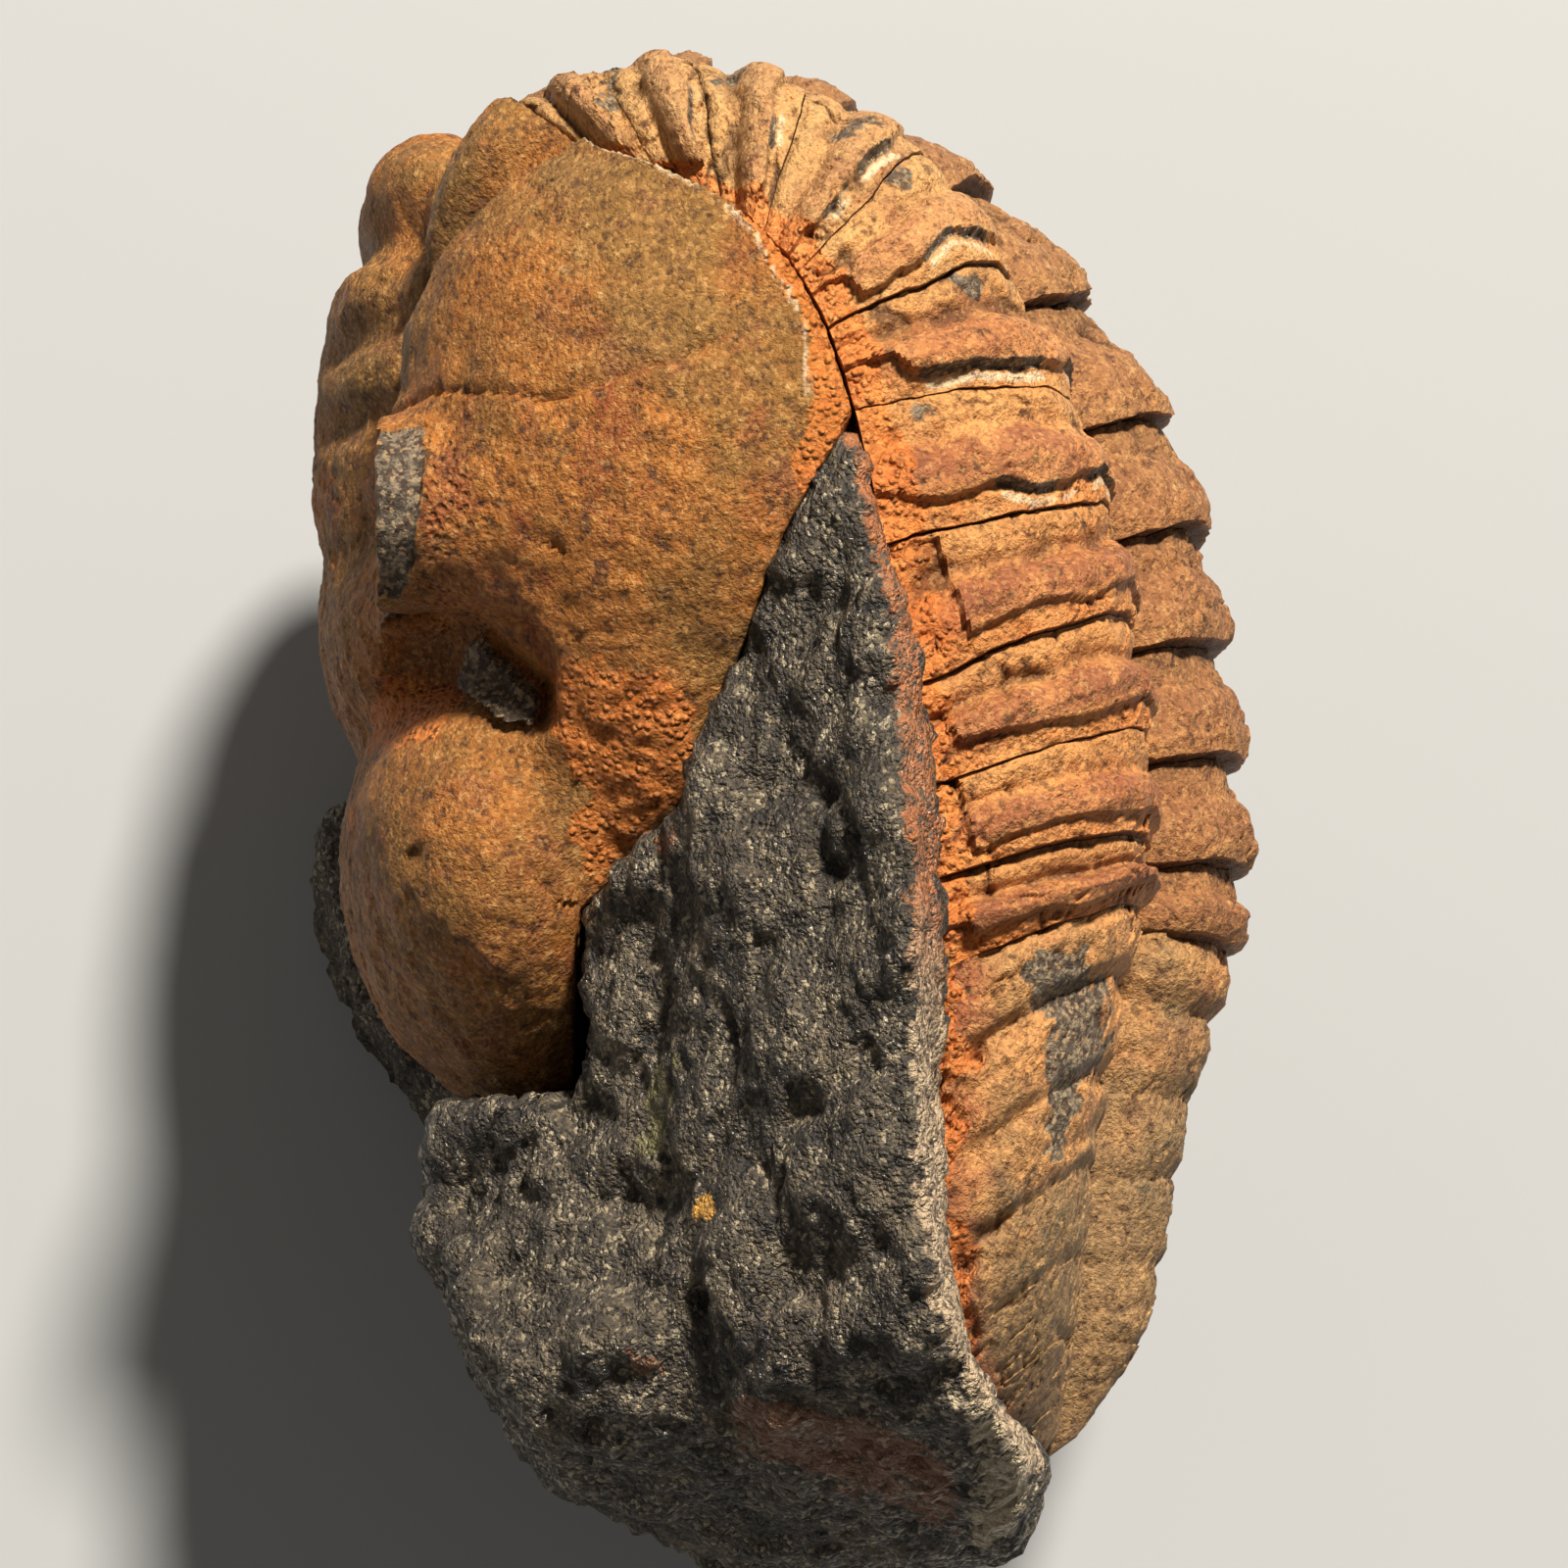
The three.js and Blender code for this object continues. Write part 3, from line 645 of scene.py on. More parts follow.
# %% [markdown]
# ### The worn surface of the tail
#
# A wide grey patch has lost its shell, four short furrows cross the ribs, and the edge has crumbled
# to orange grains. The patch and the furrows are drawn as the camera sees them, in millimetres.

# %% Layers of the tail's surface
tail_grey = [
    [(5.9, -6.6), (6.9, -5.9), (8.3, -6.5), (8.3, -8.3),
     (7.5, -9.8), (7.0, -11.6), (6.5, -10.5), (6.7, -8.1)],
    [(5.3, -17.3), (6.7, -17.3), (6.8, -18.4), (5.4, -18.6)],
]
short_furrows = [
    [(8.0, -9.0), (8.9, -8.2)], [(7.3, -10.9), (8.2, -9.9)],
    [(4.7, -13.3), (5.7, -12.7)], [(7.1, -15.2), (8.2, -15.6)],
]
short_furrow_depth = 0.25
short_furrow_width = 0.18
tail_grain = [(0.14, 1.5, 4, 35), (0.05, 0.4, 3, 39)]
tail_flakes = 0.09
tail_crack_spacing = 1.8
tail_grey_depth, tail_grey_cover = 0.12, 0.75
crumbled_edge = (9.3, 9.8)
crumble_depth = 0.6
print("short furrows on the tail:", len(short_furrows))


# %% The height and the masks of the tail
def tail_surface(station):
    """The height of the tail and what its finish has to know, for every point."""
    plain = on_back(station, np.zeros_like(station))
    grey = regions(plain, tail_grey, 0.2, 0.5, 77)
    crumbled = soft_step(from_axis + 0.5 * rough(plain, 1.2, 4, 33), *crumbled_edge)
    pits = np.clip(rough(plain, 0.8, 3, 34) + 0.1, 0, 1)
    cracks = wandering_cracks(plain, tail_crack_spacing, 410)
    height = tail_bands(station, plain) + grain(plain, tail_grain) + tail_flakes * flakes(plain, 1.4, 520)
    height = height - crumble_depth * crumbled * pits - tail_grey_depth * grey - crack_depth * cracks
    for line in short_furrows:
        height = height - short_furrow_depth * bell(seen_from(plain, line), short_furrow_width)
    values = {
        "broken": tail_grey_cover * grey,
        "fresh": crumbled,
        # How low a point lies, which the finish darkens as painted shade.
        "low": np.clip(-height / 0.6 + 0.6 * cracks, 0, 1),
        "along": np.broadcast_to(tail_steps, station.shape),
        "side": np.broadcast_to(from_axis / last_column, station.shape)}
    return height, values


# %% The tail as a closed piece
inner_tail_steps = np.linspace(0, 1, 14)[:, None]


def tail_shield():
    front = joint_place(plate_count) + crack_width
    station = front + (tail_end - front) * tail_steps
    height, values = tail_surface(station)
    front_wall = wall(front, height[0], front_wall_shares)
    outer = np.concatenate([front_wall, on_back(station, height)])
    inner_station = front + (tail_end - front) * inner_tail_steps
    inner = on_back(inner_station, np.full_like(inner_station, -plate_depth))
    masks = masks_of(values, (len(front_wall), 0), inner.shape[:2])
    points, triangles = closed_sheet(outer, inner)
    return add_piece("shell_pygidium", points, triangles, masks, "pygidium")


tail = tail_shield()

# %% [markdown]
# ## The head shield
#
# The head is a group of swollen masses that flow into each other: the glabella with its lobes, the
# round frontal lobe, the wide cheeks and the drum-shaped eyes. Each mass is a signed distance, the
# distances are joined softly, and rays from the middle of the head find the skin. That gives soft
# valleys between the masses, which a union of solids can't give.

# %% Masses and furrows of the head
# Each mass: its middle, its half sizes, its lean in degrees, how softly it joins, how square it is
head_masses = {
    "glabella": ((-9.8, 9.6, 0), (2.75, 7.2, 5.9), -3, 0.8, 2),
    "occipital ring": ((-9.2, 15.2, 0), (2.15, 2.1, 5.7), -42, 0.5, 2),
    "neck of the lobe": ((-9.2, 3.4, 0), (3.1, 3.6, 6.8), 6, 1.0, 2),
    "frontal lobe": ((-7.5, -2.9, 0), (4.2, 5.8, 9.6), 12, 0.6, 2),
    "cheek": ((-1.2, 8.6, 5), (9.0, 9.2, 10.3), 0, 1.2, 2.4),
    "front of the cheek": ((-3.4, 2.0, 4), (4.6, 6.4, 7.6), 8, 2.4, 2),
    "rear border": ((-7.2, 14.6, 5.4), (1.7, 3.5, 5.6), -30, 0.4, 2.2),
}
# Each furrow: its radius and the points of its line
head_furrows = {
    "occipital": (0.5, [(-11.9, 14.1, -0.1), (-11.3, 13.9, 3.5), (-9.6, 13.5, 6.2)]),
    "first lateral": (0.5, [(-12.5, 11.1, 2.6), (-10.4, 11.4, 6.0)]),
    "second lateral": (0.5, [(-12.7, 8.9, 2.9), (-10.4, 8.8, 6.4)]),
    "third lateral": (0.45, [(-12.5, 5.2, 3.4), (-10.2, 6.0, 7.0)]),
    "beside the axis": (0.75, [
        (-7.9, 15.9, 7.0), (-9.4, 13.0, 7.2), (-9.9, 10.0, 7.2), (-10.0, 7.0, 7.6), (-9.3, 2.4, 8.2),
        (-7.6, 1.6, 9.0), (-6.4, 0.6, 9.8)]),
    "rear border": (0.7, [(-9.7, 11.6, 8.6), (-7.7, 13.5, 10.9), (-5.2, 15.3, 12.2)]),
    "below the eye": (1.1, [(-10.2, 1.6, 8.6), (-8.4, 1.7, 9.8), (-6.9, 1.5, 10.6)]),
}
furrow_flow = 0.6
eye = {
    "foot": -4.0, "top": -10.4, "y": 5.4, "z": 8.4,
    "half_length": 2.8, "half_height": 4.4, "taper": 0.94}
eye_flow = 1.0
print("masses:", len(head_masses), "furrows:", len(head_furrows))

# %% [markdown]
# ### Distances to the masses
#
# A signed distance is negative inside a form and positive outside it. The lower of two distances
# joins two forms, and a soft version of it rounds the valley between them. Turned over, the same
# function presses a furrow into the skin.

# %% Signed distances
def soft_lower(a, b, flow):
    """The lower of two distances, rounded where they are nearly the same."""
    share = np.maximum(flow - np.abs(a - b), 0) / flow
    return np.minimum(a, b) - share * share * flow / 4


def mass_distance(points, middle, half, lean, square):
    x, y, z = (points[..., k] - middle[k] for k in range(3))
    if middle[2]:
        z = np.abs(points[..., 2]) - middle[2]
    turn = math.radians(lean)
    u = (x * math.cos(turn) + y * math.sin(turn)) / half[0]
    v = (y * math.cos(turn) - x * math.sin(turn)) / half[1]
    shares = np.abs(np.stack([u, v, z / half[2]], -1))
    inside = np.sum(shares ** square, axis=-1) ** (1 / square) + 1e-6
    slopes = (shares / inside[..., None]) ** (square - 1) / np.array(half)
    return (inside - 1) / (np.linalg.norm(slopes, axis=-1) + 1e-9)


def eye_distance(points):
    x, y, z = points[..., 0], points[..., 1], np.abs(points[..., 2])
    share = np.clip((x - eye["foot"]) / (eye["top"] - eye["foot"]), 0, 1)
    size = 1 + (eye["taper"] - 1) * share
    spread = np.hypot((y - eye["y"]) / eye["half_length"], (z - eye["z"]) / eye["half_height"])
    return np.maximum.reduce([(spread - size) * eye["half_length"], eye["top"] - x, x - eye["foot"]])


def line_distance(points, line):
    """Distance from a line and from its mirror image on the other flank."""
    points = np.concatenate([points[..., :2], np.abs(points[..., 2:])], -1)
    nearest = np.full(points.shape[:-1], far_away)
    for start, end in zip(np.array(line[:-1]), np.array(line[1:])):
        along = end - start
        share = np.clip((points - start) @ along / (along @ along), 0, 1)
        nearest = np.minimum(nearest, np.linalg.norm(points - start - share[..., None] * along, axis=-1))
    return nearest


def head_distance(points):
    distance = np.full(points.shape[:-1], far_away)
    for middle, half, lean, flow, square in head_masses.values():
        distance = soft_lower(distance, mass_distance(points, middle, half, lean, square), flow)
    distance = soft_lower(distance, eye_distance(points), eye_flow)
    for radius, line in head_furrows.values():
        distance = -soft_lower(-distance, line_distance(points, line) - radius, furrow_flow)
    return distance


head_middle = np.array([-4.5, 5.0, 0.0])
print("head distance at its middle:", round(float(head_distance(head_middle)), 2), "mm")

# %% [markdown]
# ### Rays that find the skin
#
# A metaball or a voxel skin would spread its faces evenly and round every edge. Rays from the
# middle of the head can be spread unevenly: most of them meet the near flank, where the camera
# looks. Each ray walks inwards until it meets the skin.

# %% Rays that find the skin
head_rows, near_columns, hidden_columns = 270, 240, 90
over_the_edge = 0.1
ray_lean = 1.15
ray_rise = 1.25
first_reach = 22.0
most_steps = 90
near_enough = 0.004
step_share = 0.6


def ray_directions():
    polar = np.linspace(0, math.pi, head_rows + 1)[1:-1, None]
    turn = np.concatenate([
        np.linspace(-over_the_edge, math.pi + over_the_edge, near_columns, endpoint=False),
        np.linspace(math.pi + over_the_edge, 2 * math.pi - over_the_edge, hidden_columns, endpoint=False)])
    width = np.sin(polar)
    along = -np.cos(polar) * ray_lean + 0 * turn
    rays = np.stack([-width * np.cos(turn), along, width * np.sin(turn) * ray_rise], -1).reshape(-1, 3)
    rays = np.concatenate([[(0, -1, 0)], rays, [(0, 1, 0)]])
    return rays / np.linalg.norm(rays, axis=1, keepdims=True)


def skin_reach(rays):
    reach = np.full(len(rays), first_reach)
    moving = np.arange(len(rays))
    for _ in range(most_steps):
        distance = head_distance(head_middle + rays[moving] * reach[moving, None])
        moving_on = distance > near_enough
        moving = moving[moving_on]
        if not len(moving):
            break
        reach[moving] -= step_share * distance[moving_on]
    return reach


rays = ray_directions()
skin = skin_reach(rays)
print("rays:", len(rays), "mean reach, mm:", round(float(skin.mean()), 2))

# %% [markdown]
# ### The outline of the head
#
# Seen from the flank, the head ends at the first plate, at the free ends of the next ones and at
# the rock. A ray also stops at that outline, so the cheek ends in the same sharp edge against the
# rock as the solid does.

# %% The outline that cuts the rays
cheek_margin = [
    (1.35, 6.3), (0.0, 4.06), (-0.74, 2.24), (-1.99, -0.92), (-2.5, -2.4), (-4.0, -3.4),
    (-5.25, -4.6), (-5.2, -6.1), (-4.7, -8.5), (-5.6, -9.4),
]
around_the_face = [(-9.3, -9.3), (-15, -6), (-16, 5), (-15, 15), (-11.5, 20)]
rock_gap = 0.1
rear_room = np.array([-0.12, -0.03, 0])
past_the_crest = 1.2
last_end_beside = 6


def head_outline():
    ends_beside = stations.searchsorted(np.arange(0, last_end_beside + 1) - 1e-6)
    crest, bend = crest_line[0] + rear_room, bend_line[0] + rear_room
    behind = crest + (crest - bend) * flat * past_the_crest
    rear = [behind[:2], crest[:2], bend[:2]]
    for index in ends_beside:
        under = ((free_end_line[index] - bend_line[index]) * flat)[:2]
        rear.append(free_end_line[index][:2] + under / np.linalg.norm(under) * rock_gap)
    return np.array([tuple(point) for point in rear] + cheek_margin + around_the_face)


def outline_reach(rays):
    """Where each ray leaves the head's outline, seen from the flank."""
    outline = head_outline() - head_middle[:2]
    reach = np.full(len(rays), far_away)
    for start, end in zip(outline, np.roll(outline, -1, axis=0)):
        along = end - start
        cross = rays[:, 0] * along[1] - rays[:, 1] * along[0]
        cross = np.where(np.abs(cross) < 1e-9, 1e-9, cross)
        far = (start[0] * along[1] - start[1] * along[0]) / cross
        share = (start[0] * rays[:, 1] - start[1] * rays[:, 0]) / cross
        hit = (far > 0) & (share >= 0) & (share <= 1)
        reach = np.where(hit & (far < reach), far, reach)
    return reach


cut = outline_reach(rays)
print("rays that the outline cuts:", int((cut < skin).sum()))

# %% [markdown]
# ## The head's surface
#
# The skin is not smooth: it has lumps of a few millimetres, a fine grain, a thin crack where the
# free cheek meets the rest of the head, a few pits, and a rough zone below the eye. Lines and zones
# are drawn as the camera sees them, in millimetres, and each has a soft or ragged edge.

# %% Lines and zones of the head
suture = [
    (-10.4, 8.1), (-9.24, 8.3), (-8.2, 8.1), (-5.93, 7.45),
    (-4.93, 7.66), (-3.94, 7.97), (-2.46, 8.37), (-1.6, 8.92),
]
head_cracks = [
    {"radius": 0.10, "depth": 0.22, "line": suture},
    {"radius": 0.07, "depth": 0.16, "line": [(-6.29, 4.16), (-5.42, 3.61)]},
    {"radius": 0.09, "depth": 0.2, "line": [(-6.17, -4.2), (-5.94, -4.53), (-5.38, -4.58)]},
    {"radius": 0.16, "depth": 0.3, "line": [(-9.58, -3.29), (-9.5, -3.25)]},
    {"radius": 0.2, "depth": 0.2, "line": [(-4.81, 8.77), (-4.75, 8.8)]},
    {"radius": 0.24, "depth": 0.16, "line": [(-4.43, 4.79), (-4.35, 4.8)]},
    {"radius": 0.15, "depth": 0.2, "line": [(-3.21, 10.87), (-3.15, 10.9)]},
]
grey_strip = [
    (-9.75, 7.32), (-9.15, 7.22), (-9.26, 5.06), (-9.46, 3.83), (-9.85, 3.06), (-10.4, 3.1), (-10.4, 7.2),
]
eye_hollow = [
    (-10.2, 2.9), (-9.0, 2.9), (-7.9, 2.9), (-5.9, 0.9),
    (-6.1, -0.3), (-7.3, -0.1), (-8.9, 1.1), (-10.4, 1.7),
]
grey_lump = [(-8.18, 2.43), (-7.72, 2.47), (-6.18, 0.79), (-6.36, -0.07), (-7.26, 0.2), (-8.44, 1.34)]
granular = [
    (-6.0, 1.4), (-4.0, 1.2), (-2.5, 0.5), (-2.2, -0.8), (-2.5, -2.1), (-4.8, -3.9), (-5.5, -3.0),
    (-5.0, -1.6), (-6.0, -0.1),
]
rough_roll = [(-9.5, 11.5), (-8.4, 16.0), (-4.5, 17.6), (-5.2, 15.2), (-7.5, 13.2)]
pale_rim = [
    (-5.4, 14.8), (-4.3, 14.1), (-3.3, 13.5), (-2.2, 12.8), (-1.2, 12.1), (-0.7, 11.4), (-0.35, 10.6),
    (0.1, 9.9), (0.44, 9.3), (0.6, 7.4),
]
orange_strip = [(-0.3, 12.0), (0.6, 10.2), (1.2, 9.0), (1.3, 7.05), (0.7, 5.4)]
orange_hollow = [(-10.6, 2.0), (-9.2, 1.6), (-8.3, 0.5), (-8.9, -0.4), (-10.9, 0.2)]
rim_wander = 0.16
rim_half_width = 0.17
print("cracks and pits of the head:", len(head_cracks))


# %% Where the head differs from the plain shell
def head_patches(points):
    """Masks of the places that differ from the plain shell."""
    wander = rim_wander * rough(points, 0.8, 3, 79)
    return {
        "strip": region(points, grey_strip, 0.08, 0.1, 81),
        "hollow": region(points, eye_hollow, 0.25, 0.1, 82),
        "lump": region(points, grey_lump, 0.12, 0.08, 83),
        "grains": region(points, granular, 0.5, 0.4, 84),
        "pebbles": region(points, rough_roll, 0.8, 0.6, 80),
        "orange": region(points, orange_hollow, 0.3, 0.4, 78),
        "rim": bell(seen_from(points, pale_rim) + wander, rim_half_width)}


# %% The head's relief
head_grain = [(0.13, 2.6, 3, 51), (0.06, 0.55, 4, 55)]
head_flakes = 0.06
pebble_height = 0.16
grain_height = 0.05
hollow_depth = 0.5
lump_height = 0.85
rim_height = 0.09
strip_depth = 0.2
strip_roughness = 0.12


def head_relief(points, patches):
    """How far each point stands out from the smooth skin, in millimetres."""
    relief = grain(points, head_grain) + head_flakes * flakes(points, 1.4, 540)
    relief += pebble_height * patches["pebbles"] * rough(points, 0.4, 2, 89)
    relief += grain_height * patches["grains"] * rough(points, 0.3, 2, 85)
    relief += lump_height * patches["lump"] - hollow_depth * patches["hollow"]
    relief += patches["strip"] * (strip_roughness * rough(points, 0.6, 3, 86) - strip_depth)
    relief += rim_height * patches["rim"]
    for crack in head_cracks:
        relief -= crack["depth"] * bell(seen_from(points, crack["line"]), crack["radius"])
    return relief


# %% [markdown]
# ### From rays to a closed head
#
# Each ray gives one point, so neighbouring rays give the faces, and a fan closes each pole. The
# finish reads what the relief was made of, and also which part lies above the crack across the
# cheek, where the stone is more olive, and which part is the frontal lobe, whose darker brown is
# partly painted shade towards its lower left.

# %% The head's mesh
above_edge = (-0.15, 0.15)
lobe_edge = (1.2, 4.2)
strip_glow = (-0.9, -0.3)
lens_reach = 0.35
lens_edge = 0.25
face_of_the_eye = -9.2
rim_dust = 0.72


def ray_triangles():
    columns = near_columns + hidden_columns
    between = 1 + np.arange((head_rows - 1) * columns).reshape(-1, columns)
    first = np.zeros((1, columns), int)
    last = np.full((1, columns), len(rays) - 1)
    ids = np.concatenate([first, between, last])
    triangles = sheet(np.concatenate([ids, ids[:, :1]], axis=1))
    a, b, c = triangles.T
    return triangles[(a != b) & (b != c) & (a != c)]


def head_masks(points, patches):
    suture_x, suture_y = np.array(suture).T
    above = points[:, 1] - np.interp(points[:, 0], suture_x, suture_y)
    glow = soft_step(0.3 * rough(points, 0.8, 3, 87) - seen_from(points, orange_strip), *strip_glow)
    near_eye = soft_step(lens_reach - eye_distance(points), 0, lens_edge) * (points[:, 0] > face_of_the_eye)
    return {
        "broken": np.maximum(patches["strip"], patches["lump"]),
        # The hollow under the eye and the edge cut against the rock get painted shade.
        "low": np.clip(0.8 * patches["hollow"] - patches["lump"], 0, 1) + 0.3 * (cut < skin),
        "dust": rim_dust * patches["rim"],
        "fresh": np.maximum.reduce([glow, patches["grains"], patches["orange"]]),
        "lens": near_eye * (1 - patches["strip"]),
        "above": soft_step(above, *above_edge),
        # Grows towards the frontal lobe's lower left, where the finish paints shade.
        "lobe": soft_step(-points[:, 1] - 0.5 * points[:, 0], *lobe_edge)}


def head_piece():
    points = head_middle + rays * skin[:, None]
    patches = head_patches(points)
    reach = np.minimum(skin + head_relief(points, patches), cut)
    points = head_middle + rays * reach[:, None]
    return add_piece("shell_cephalon", points, ray_triangles(), head_masks(points, patches), "cephalon")


head = head_piece()

# %% [markdown]
# ## The rock
#
# The rock's solid already has its ridge and its breaks. Every point of it could be cut by hand in
# edit mode, but broken sandstone has no face that is worth it. So a copy of the solid is merged,
# the voxel remesh covers it with an even skin of small faces, and every point is moved in or out.

# %% An even skin over the rock's solid
skin_size = 0.00022
merge_distance = 1e-7


def even_rock():
    bpy.ops.object.select_all(action="DESELECT")
    mesh = frame["nodes"]["rock_matrix"].data.copy()
    rock = bpy.data.objects.new("rough_rock", mesh)
    bpy.context.scene.collection.objects.link(rock)
    bpy.context.view_layer.objects.active = rock
    rock.select_set(True)
    bpy.ops.object.mode_set(mode="EDIT")
    bpy.ops.mesh.select_all(action="SELECT")
    bpy.ops.mesh.remove_doubles(threshold=merge_distance)
    bpy.ops.object.mode_set(mode="OBJECT")
    remesh = rock.modifiers.new("even skin", "REMESH")
    remesh.mode = "VOXEL"
    remesh.voxel_size = skin_size
    bpy.ops.object.modifier_apply(modifier="even skin")
    return rock


def read_vectors(items, name):
    values = np.empty(len(items) * 3)
    items.foreach_get(name, values)
    return values.reshape(-1, 3)


rock = even_rock()
rock_points = read_vectors(rock.data.vertices, "co") * 1000 - frame_shift
rock_normals = read_vectors(rock.data.vertices, "normal")
print("rock:", len(rock.data.polygons), "faces")

# %% [markdown]
# ### Broken sandstone
#
# A break in sandstone has hollows with sharp ridges between them, flat facets, fine grain, and a few
# deeper pits. The absolute value of a noise gives the ridges. The rock is also a little fuller than
# its solid, most of all beside the shell, so that no gap shows between the two.

# %% The rock's relief
rock_pits = [
    {"radius": 0.42, "depth": 0.7, "place": (1.03, -2.63)},
    {"radius": 0.3, "depth": 0.5, "place": (1.29, -4.69)},
    {"radius": 0.3, "depth": 0.45, "place": (0.78, -10.59)},
    {"radius": 0.35, "depth": 0.5, "place": (-2.05, -15.01)},
    {"radius": 0.35, "depth": 0.5, "place": (-4.01, -16.71)},
    {"radius": 0.25, "depth": 0.35, "place": (-3.5, -14.48)},
]
streak_stretch = np.array([1.1, 0.6, 1.0])
facet_stretch = np.array([1, 0.8, 1])
coarse_grain, fine_grain = [(0.30, 2.3, 5, 65)], [(0.13, 0.6, 4, 69)]
ridge_height, facet_height, rock_flakes = 0.26, 0.4, 0.13
fuller = 0.12
fuller_at_shell = 0.35
shell_reach = (2.6, 1.0)
flat_foot = (-16.9, -16.2)
shell_edge = free_end_line[::20]


def rock_relief(points):
    streaks = points * streak_stretch
    ridges = 0.5 - np.abs(rough(streaks, 1.3, 3, 61))
    facets = 0.35 - np.abs(rough(points * facet_stretch, 3.4, 3, 73))
    relief = grain(streaks, coarse_grain) + grain(points, fine_grain)
    relief += ridge_height * ridges + facet_height * facets + rock_flakes * flakes(points, 1.3, 560)
    relief += fuller + fuller_at_shell * soft_step(line_distance(points, shell_edge), *shell_reach)
    for pit in rock_pits:
        x, y = pit["place"]
        relief -= pit["depth"] * bell(seen_from(points, [(x, y), (x + 0.01, y - 0.01)]), pit["radius"])
    return relief


relief = rock_relief(rock_points)
above_floor = soft_step(rock_points[:, 2], *flat_foot)
rock_points = rock_points + rock_normals * (relief * above_floor)[:, None]
rock.data.vertices.foreach_set("co", in_frame(rock_points).ravel())
print("relief of the rock, mm:", round(float(relief.min()), 2), "to", round(float(relief.max()), 2))

# %% What the rock's finish reads
rock_patches = {
    "crystal": [[(-2.3, -12.4), (-1.8, -12.5), (-1.8, -13.1), (-2.3, -13.0)]],
    "rust": [
        [(-3.9, -16.1), (-3.1, -16.2), (-3.1, -16.9), (-3.9, -16.9)],
        [(-3.5, -3.0), (-2.6, -3.2), (-2.7, -4.2)],
        [(-1.5, -17.6), (2.0, -17.9), (4.4, -19.0), (4.4, -20.2), (1.0, -19.4), (-1.2, -18.6)]],
    "olive": [[(-3.5, -9.0), (-2.8, -8.9), (-2.9, -10.9), (-3.7, -11.2)]],
    "tip": [[(3.9, -17.4), (5.0, -17.6), (6.4, -19.0), (6.0, -20.8), (4.7, -20.6), (4.9, -19.0)]],
}
near_flank = 2
rim_width = (0.75, 0.2)
deep_from = (0.15, -0.35)
upper_from = (-9, -5)


def rock_masks(points):
    from_shell = seen_from(points, shell_edge[4:, :2]) + 0.4 * rough(points, 0.8, 4, 71)
    masks = {
        # The strip along the ridge beside the shell, whose beige is partly painted highlight.
        "rim": soft_step(from_shell, *rim_width) * (points[:, 2] > near_flank),
        # The low places of the relief, which the finish darkens as painted shade.
        "deep": soft_step(relief, *deep_from),
        "upper": soft_step(points[:, 1], *upper_from)}
    for number, (name, patches) in enumerate(rock_patches.items()):
        shares = [region(points, corners, 0.15, 0.35, 90 + number) for corners in patches]
        masks[name] = np.max(shares, axis=0)
    return masks


keep_masks(rock.data, rock_masks(rock_points))
rock.data.update()
rock.data.shade_smooth()
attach(rock, "root")
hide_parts("rock_matrix")

# %% [markdown]
# ## Writing finishes
#
# A finish is a node tree. Written as Python expressions it stays readable: a small class wraps a
# socket and turns +, - and * into Math nodes, and one method adds any other node.

# %% Numbers that change over the surface
class Mask:
    """One number that changes over the surface."""

    def __init__(self, finish, socket):
        self.finish, self.socket = finish, socket

    def combined(self, operation, first, second):
        socket = self.finish.add("ShaderNodeMath", {"operation": operation}, {0: first, 1: second})
        return Mask(self.finish, socket)

    def __add__(self, other):
        return self.combined("ADD", self, other)

    def __radd__(self, other):
        return self.combined("ADD", other, self)

    def __sub__(self, other):
        return self.combined("SUBTRACT", self, other)

    def __rsub__(self, other):
        return self.combined("SUBTRACT", other, self)

    def __mul__(self, other):
        return self.combined("MULTIPLY", self, other)

    def __rmul__(self, other):
        return self.combined("MULTIPLY", other, self)


# %% [markdown]
# ### One finish, its noises and its layers
#
# A noise is given by the size of its lumps in millimetres, as a maker would name it, and a layer
# by its colour and its share. Every pattern reads Object coordinates, so nothing slides or turns
# when the fossil is moved.

